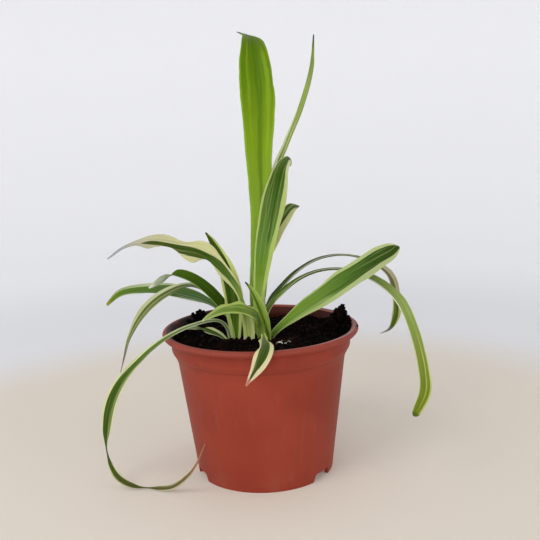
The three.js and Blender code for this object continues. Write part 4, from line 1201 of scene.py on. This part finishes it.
def thickened(surface, rows, u):
    # Surface: half the thickness is added and taken away along the sheet's own normal, with a rib below of
    # section exp(-(u / 0.13)^2), a shallow groove above it, and veins of cos(9 * pi * u) * (1 - u^4)
    s, half = rows["shares"][:, None], rows["half"]
    normal = np.cross(np.gradient(surface, axis=1), np.gradient(surface, axis=0))
    normal /= np.linalg.norm(normal, axis=2, keepdims=True)

    def between(title, part):
        first, last = blade[title]
        return first + (last - first) * part

    thick = between("thickness", smooth(s, 0, blade["thinBy"]))
    edge = np.sqrt(np.clip(1 - np.abs(u) ** blade["edgePower"], 0, 1))
    body = thick / 2 * edge * np.maximum(rows["closure"], blade["thinnest"])
    rib = between("keel", smooth(s, 0, blade["keelTo"])) * np.exp(-(u / blade["keelWidth"]) ** 2)
    rib = rib * smooth(half, *blade["keelHalf"])
    veins = blade["veinHeight"] * np.cos(u * math.pi * blade["veins"]) * (1 - u ** 4)
    veins = veins * smooth(half, *blade["veinHalf"])
    top = surface + normal * (body + veins - blade["groove"] * rib)[..., None]
    under = surface - normal * (body + rib - veins)[..., None]
    start = rows["ahead"][0]
    for sheet in (top, under):
        sheet[0] += ((blade["footLevel"] - sheet[0, :, 2]) / start[2])[:, None] * start
    return top, under


def makeLeaf(name, leaf):
    rows = leafRows(leaf)
    shares, half, length = rows["shares"], rows["half"], rows["length"]
    sweep = np.linspace(-1, 1, blade["columns"])
    u = (blade["evenness"] * sweep + (1 - blade["evenness"]) * np.sin(math.pi / 2 * sweep))[None]
    v = u * bySide(leaf["outer"], u, shares)
    top, under = thickened(leafSheet(name, leaf, rows, u, v), rows, u)

    def around(upper, lower):
        return np.concatenate([upper, lower[:, -2:0:-1]], axis=1)

    rings = around(top, under)
    poles = [rings[0].mean(0), rings[-1].mean(0) + blade["tipPole"] * rows["ahead"][-1]]
    piece = closedTube(name.replace("leaf", "blade"), rings, poles)
    flat = np.zeros_like(v)
    s = shares[:, None] + flat
    band = (np.abs(v) - bySide(leaf["inner"], u, shares)) * half
    grown, reach = (
        around(np.stack([wide, long, flat], -1), np.stack([wide, long, flat + 1], -1)).reshape(-1, 3)
        for wide, long in ((v * half, s * length), (v, s)))
    addMarks(piece.data, {
        "band": np.concatenate([around(band, band).ravel(), [-1, band[-1].mean()]]),
        "place": np.concatenate([grown, [(0, 0, 0), (0, length, 0)]]),
        "reach": np.concatenate([reach, [(0, 0, 0), (0, 1, 0)]]),
    })
    dress(piece, leafMaterial(name, leaf))
    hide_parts(name)
    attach(piece, "root")


def alongBlade(tree, share, colours):
    # Colour: one of the colours at each even step from foot to tip, blended straight in between
    node = tree.nodes.new("ShaderNodeValToRGB")
    put(tree, node.inputs[0], share)
    stops = node.color_ramp.elements
    for index, colour in enumerate(colours):
        step = index / (len(colours) - 1)
        stop = stops[index] if index < 2 else stops.new(step)
        stop.position = step
        stop.color = paint(*colour)
    return node.outputs[0]


def striped(tree, colour, stripes, across, share):
    # Colour: a stripe's own where |across - middle| is within its width, faded round its start and end
    core, fade = blade["stripeCore"], blade["stripeFade"]
    for middle, width, start, end, strength, tint in stripes:
        away = calc(tree, "ABSOLUTE", calc(tree, "SUBTRACT", across, middle))
        mask = times(tree, ramp(tree, away, width, core * width), strength)
        if start > 0:
            mask = times(tree, mask, ramp(tree, share, start - fade, start + fade))
        if end < 1:
            mask = times(tree, mask, ramp(tree, share, end + fade, end - fade))
        colour = blend(tree, mask, colour, paint(*tint))
    return colour


def leafMaterial(name, leaf):
    material, tree, shader = newMaterial(name.replace("leaf_", "leaf skin "))
    spot = mark(tree, "place", "Vector")
    split = tree.nodes.new("ShaderNodeSeparateXYZ")
    put(tree, split.inputs[0], mark(tree, "reach", "Vector"))
    across, share, side = split.outputs
    streaks, veins, patches, specks = (
        noise(tree, stretch(tree, spot, scale), 1.0, detail) for scale, detail in blade["textures"])

    def swaying(value, texture, amount):
        return calc(tree, "MULTIPLY_ADD", calc(tree, "SUBTRACT", texture, 0.5), amount, value)

    green = alongBlade(tree, share, leaf["green"])
    green = striped(tree, green, leaf["stripes"], swaying(across, patches, 0.25), share)
    pale = alongBlade(tree, share, leaf["pale"])
    green = blend(tree, times(tree, ramp(tree, streaks, 0.52, 0.7), 0.25), green, pale)
    pale = blend(tree, times(tree, ramp(tree, veins, 0.52, 0.36), 0.16), pale, green)
    fade = blade["marginFade"]
    margin = ramp(tree, swaying(mark(tree, "band"), streaks, 1.2), -fade, fade)
    colour = blend(tree, margin, green, pale)
    nearFoot = times(tree, ramp(tree, share, *blade["speckFrom"]), leaf["specks"])
    colour = blend(tree, times(tree, ramp(tree, specks, 0.68, 0.74), nearFoot), colour, blade["speck"])
    colour = blend(tree, times(tree, side, leaf["underShare"]), colour, paint(*leaf["under"]))
    tipward = ramp(tree, share, 1 - leaf["tipReach"] * 1.6, 1 - leaf["tipReach"] * 0.5)
    colour = blend(tree, tipward, colour, paint(*leaf["tip"]))
    shade = tree.nodes.new("ShaderNodeVectorMath")
    shade.operation = "SCALE"
    put(tree, shade.inputs[0], colour)
    put(tree, shade.inputs["Scale"], calc(tree, "MULTIPLY_ADD", veins, 0.3, 0.7))
    put(tree, shader.inputs["Base Color"], shade.outputs[0])
    put(tree, shader.inputs["Roughness"], calc(tree, "MULTIPLY_ADD", veins, 0.25, 0.36))
    normal = bump(tree, streaks, 0.3, 0.0004)
    put(tree, shader.inputs["Normal"], bump(tree, veins, 0.35, 0.00022, normal))
    fix(shader, {**blade["surface"], "Subsurface Weight": leaf["glow"]})
    return material


for name, shape in leaves.items():
    makeLeaf(name, {**leafDefaults, **shape})
print("leaves made:", len(leaves))


# Studio: a plain pale floor that rises into a round wall, and soft light

studio = {
    "rings": (150, 450),   # extra rings in the flat floor, so that its faces stay small, in mm
    "flat": 900.0, "sweep": 350.0, "wall": 900.0, "turns": 96, "bendSteps": 17,      # mm
    "floor": paint(219, 210, 197), "horizon": paint(224, 224, 227), "backdrop": paint(241, 241, 243),
    "floorReach": (0.24, 0.38), "wallReach": (0.4, 0.8),      # m
    "sky": paint(243, 245, 250), "skyStrength": 0.235,
    "surface": {"Emission Strength": 0.148, "Roughness": 0.8, "Specular IOR Level": 0.2},
    "target": (0, 0, 0.12),
    # name, place in m, size in m, watts and colour of each lamp, all inside the wall, which is 1.25 m away
    "lights": [
        ("window", (-0.6, -0.7, 1.05), 0.55, 5.0, (1.0, 0.99, 0.97)),
        ("overhead", (0.15, 0.25, 1.5), 1.3, 2.4, (0.95, 0.98, 1.0)),
        ("fill", (0.85, -0.55, 0.6), 0.5, 0.9, (1.0, 0.98, 0.96)),
        ("front", (-0.15, -1.0, 0.35), 0.5, 2.1, (1.0, 0.99, 0.97)),
    ],
}


def makeFloor():
    # Surface: a flat disc, a quarter circle and a straight wall turned round the axis
    flat, sweep, wall = studio["flat"], studio["sweep"], studio["wall"]
    bend = np.linspace(0, math.pi / 2, studio["bendSteps"])
    radius = np.concatenate([studio["rings"], flat + sweep * np.sin(bend), [flat + sweep]])[:, None]
    height = np.concatenate([[0, 0], sweep * (1 - np.cos(bend)), [sweep + wall]])[:, None]
    angle = circle(studio["turns"])
    points = np.stack([radius * np.cos(angle), radius * np.sin(angle), height + 0 * angle], -1)
    grid, quads = ringFaces(*points.shape[:2])
    floor = meshPiece("studio_floor", points.reshape(-1, 3), [quads[:, ::-1], grid[:1]])
    material, tree, shader = newMaterial("plain studio paint")
    away = tree.nodes.new("ShaderNodeVectorMath")
    away.operation = "LENGTH"
    put(tree, away.inputs[0], objectPlace(tree))
    colour = studio["floor"]
    for reach, paler in (("floorReach", "horizon"), ("wallReach", "backdrop")):
        colour = blend(tree, ramp(tree, away.outputs["Value"], *studio[reach]), colour, studio[paler])
    put(tree, shader.inputs["Base Color"], colour)
    put(tree, shader.inputs["Emission Color"], colour)
    fix(shader, studio["surface"])
    dress(floor, material)


def makeLight():
    world = bpy.data.worlds.new("studio")
    bpy.context.scene.world = world
    world.use_nodes = True
    fix(world.node_tree.nodes["Background"], {"Color": studio["sky"], "Strength": studio["skyStrength"]})
    for name, position, size, watts, colour in studio["lights"]:
        lamp = bpy.data.objects.new(name, bpy.data.lights.new(name, "AREA"))
        lamp.data.size = size
        lamp.data.energy = watts
        lamp.data.color = colour
        back = np.array(position) - studio["target"]
        back /= np.linalg.norm(back)
        right = np.cross((0, 0, 1), back)
        right /= np.linalg.norm(right)
        place(lamp, right, np.cross(back, right), back, position)


makeFloor()
makeLight()
bpy.context.scene.view_settings.view_transform = "Standard"
print("studio made")
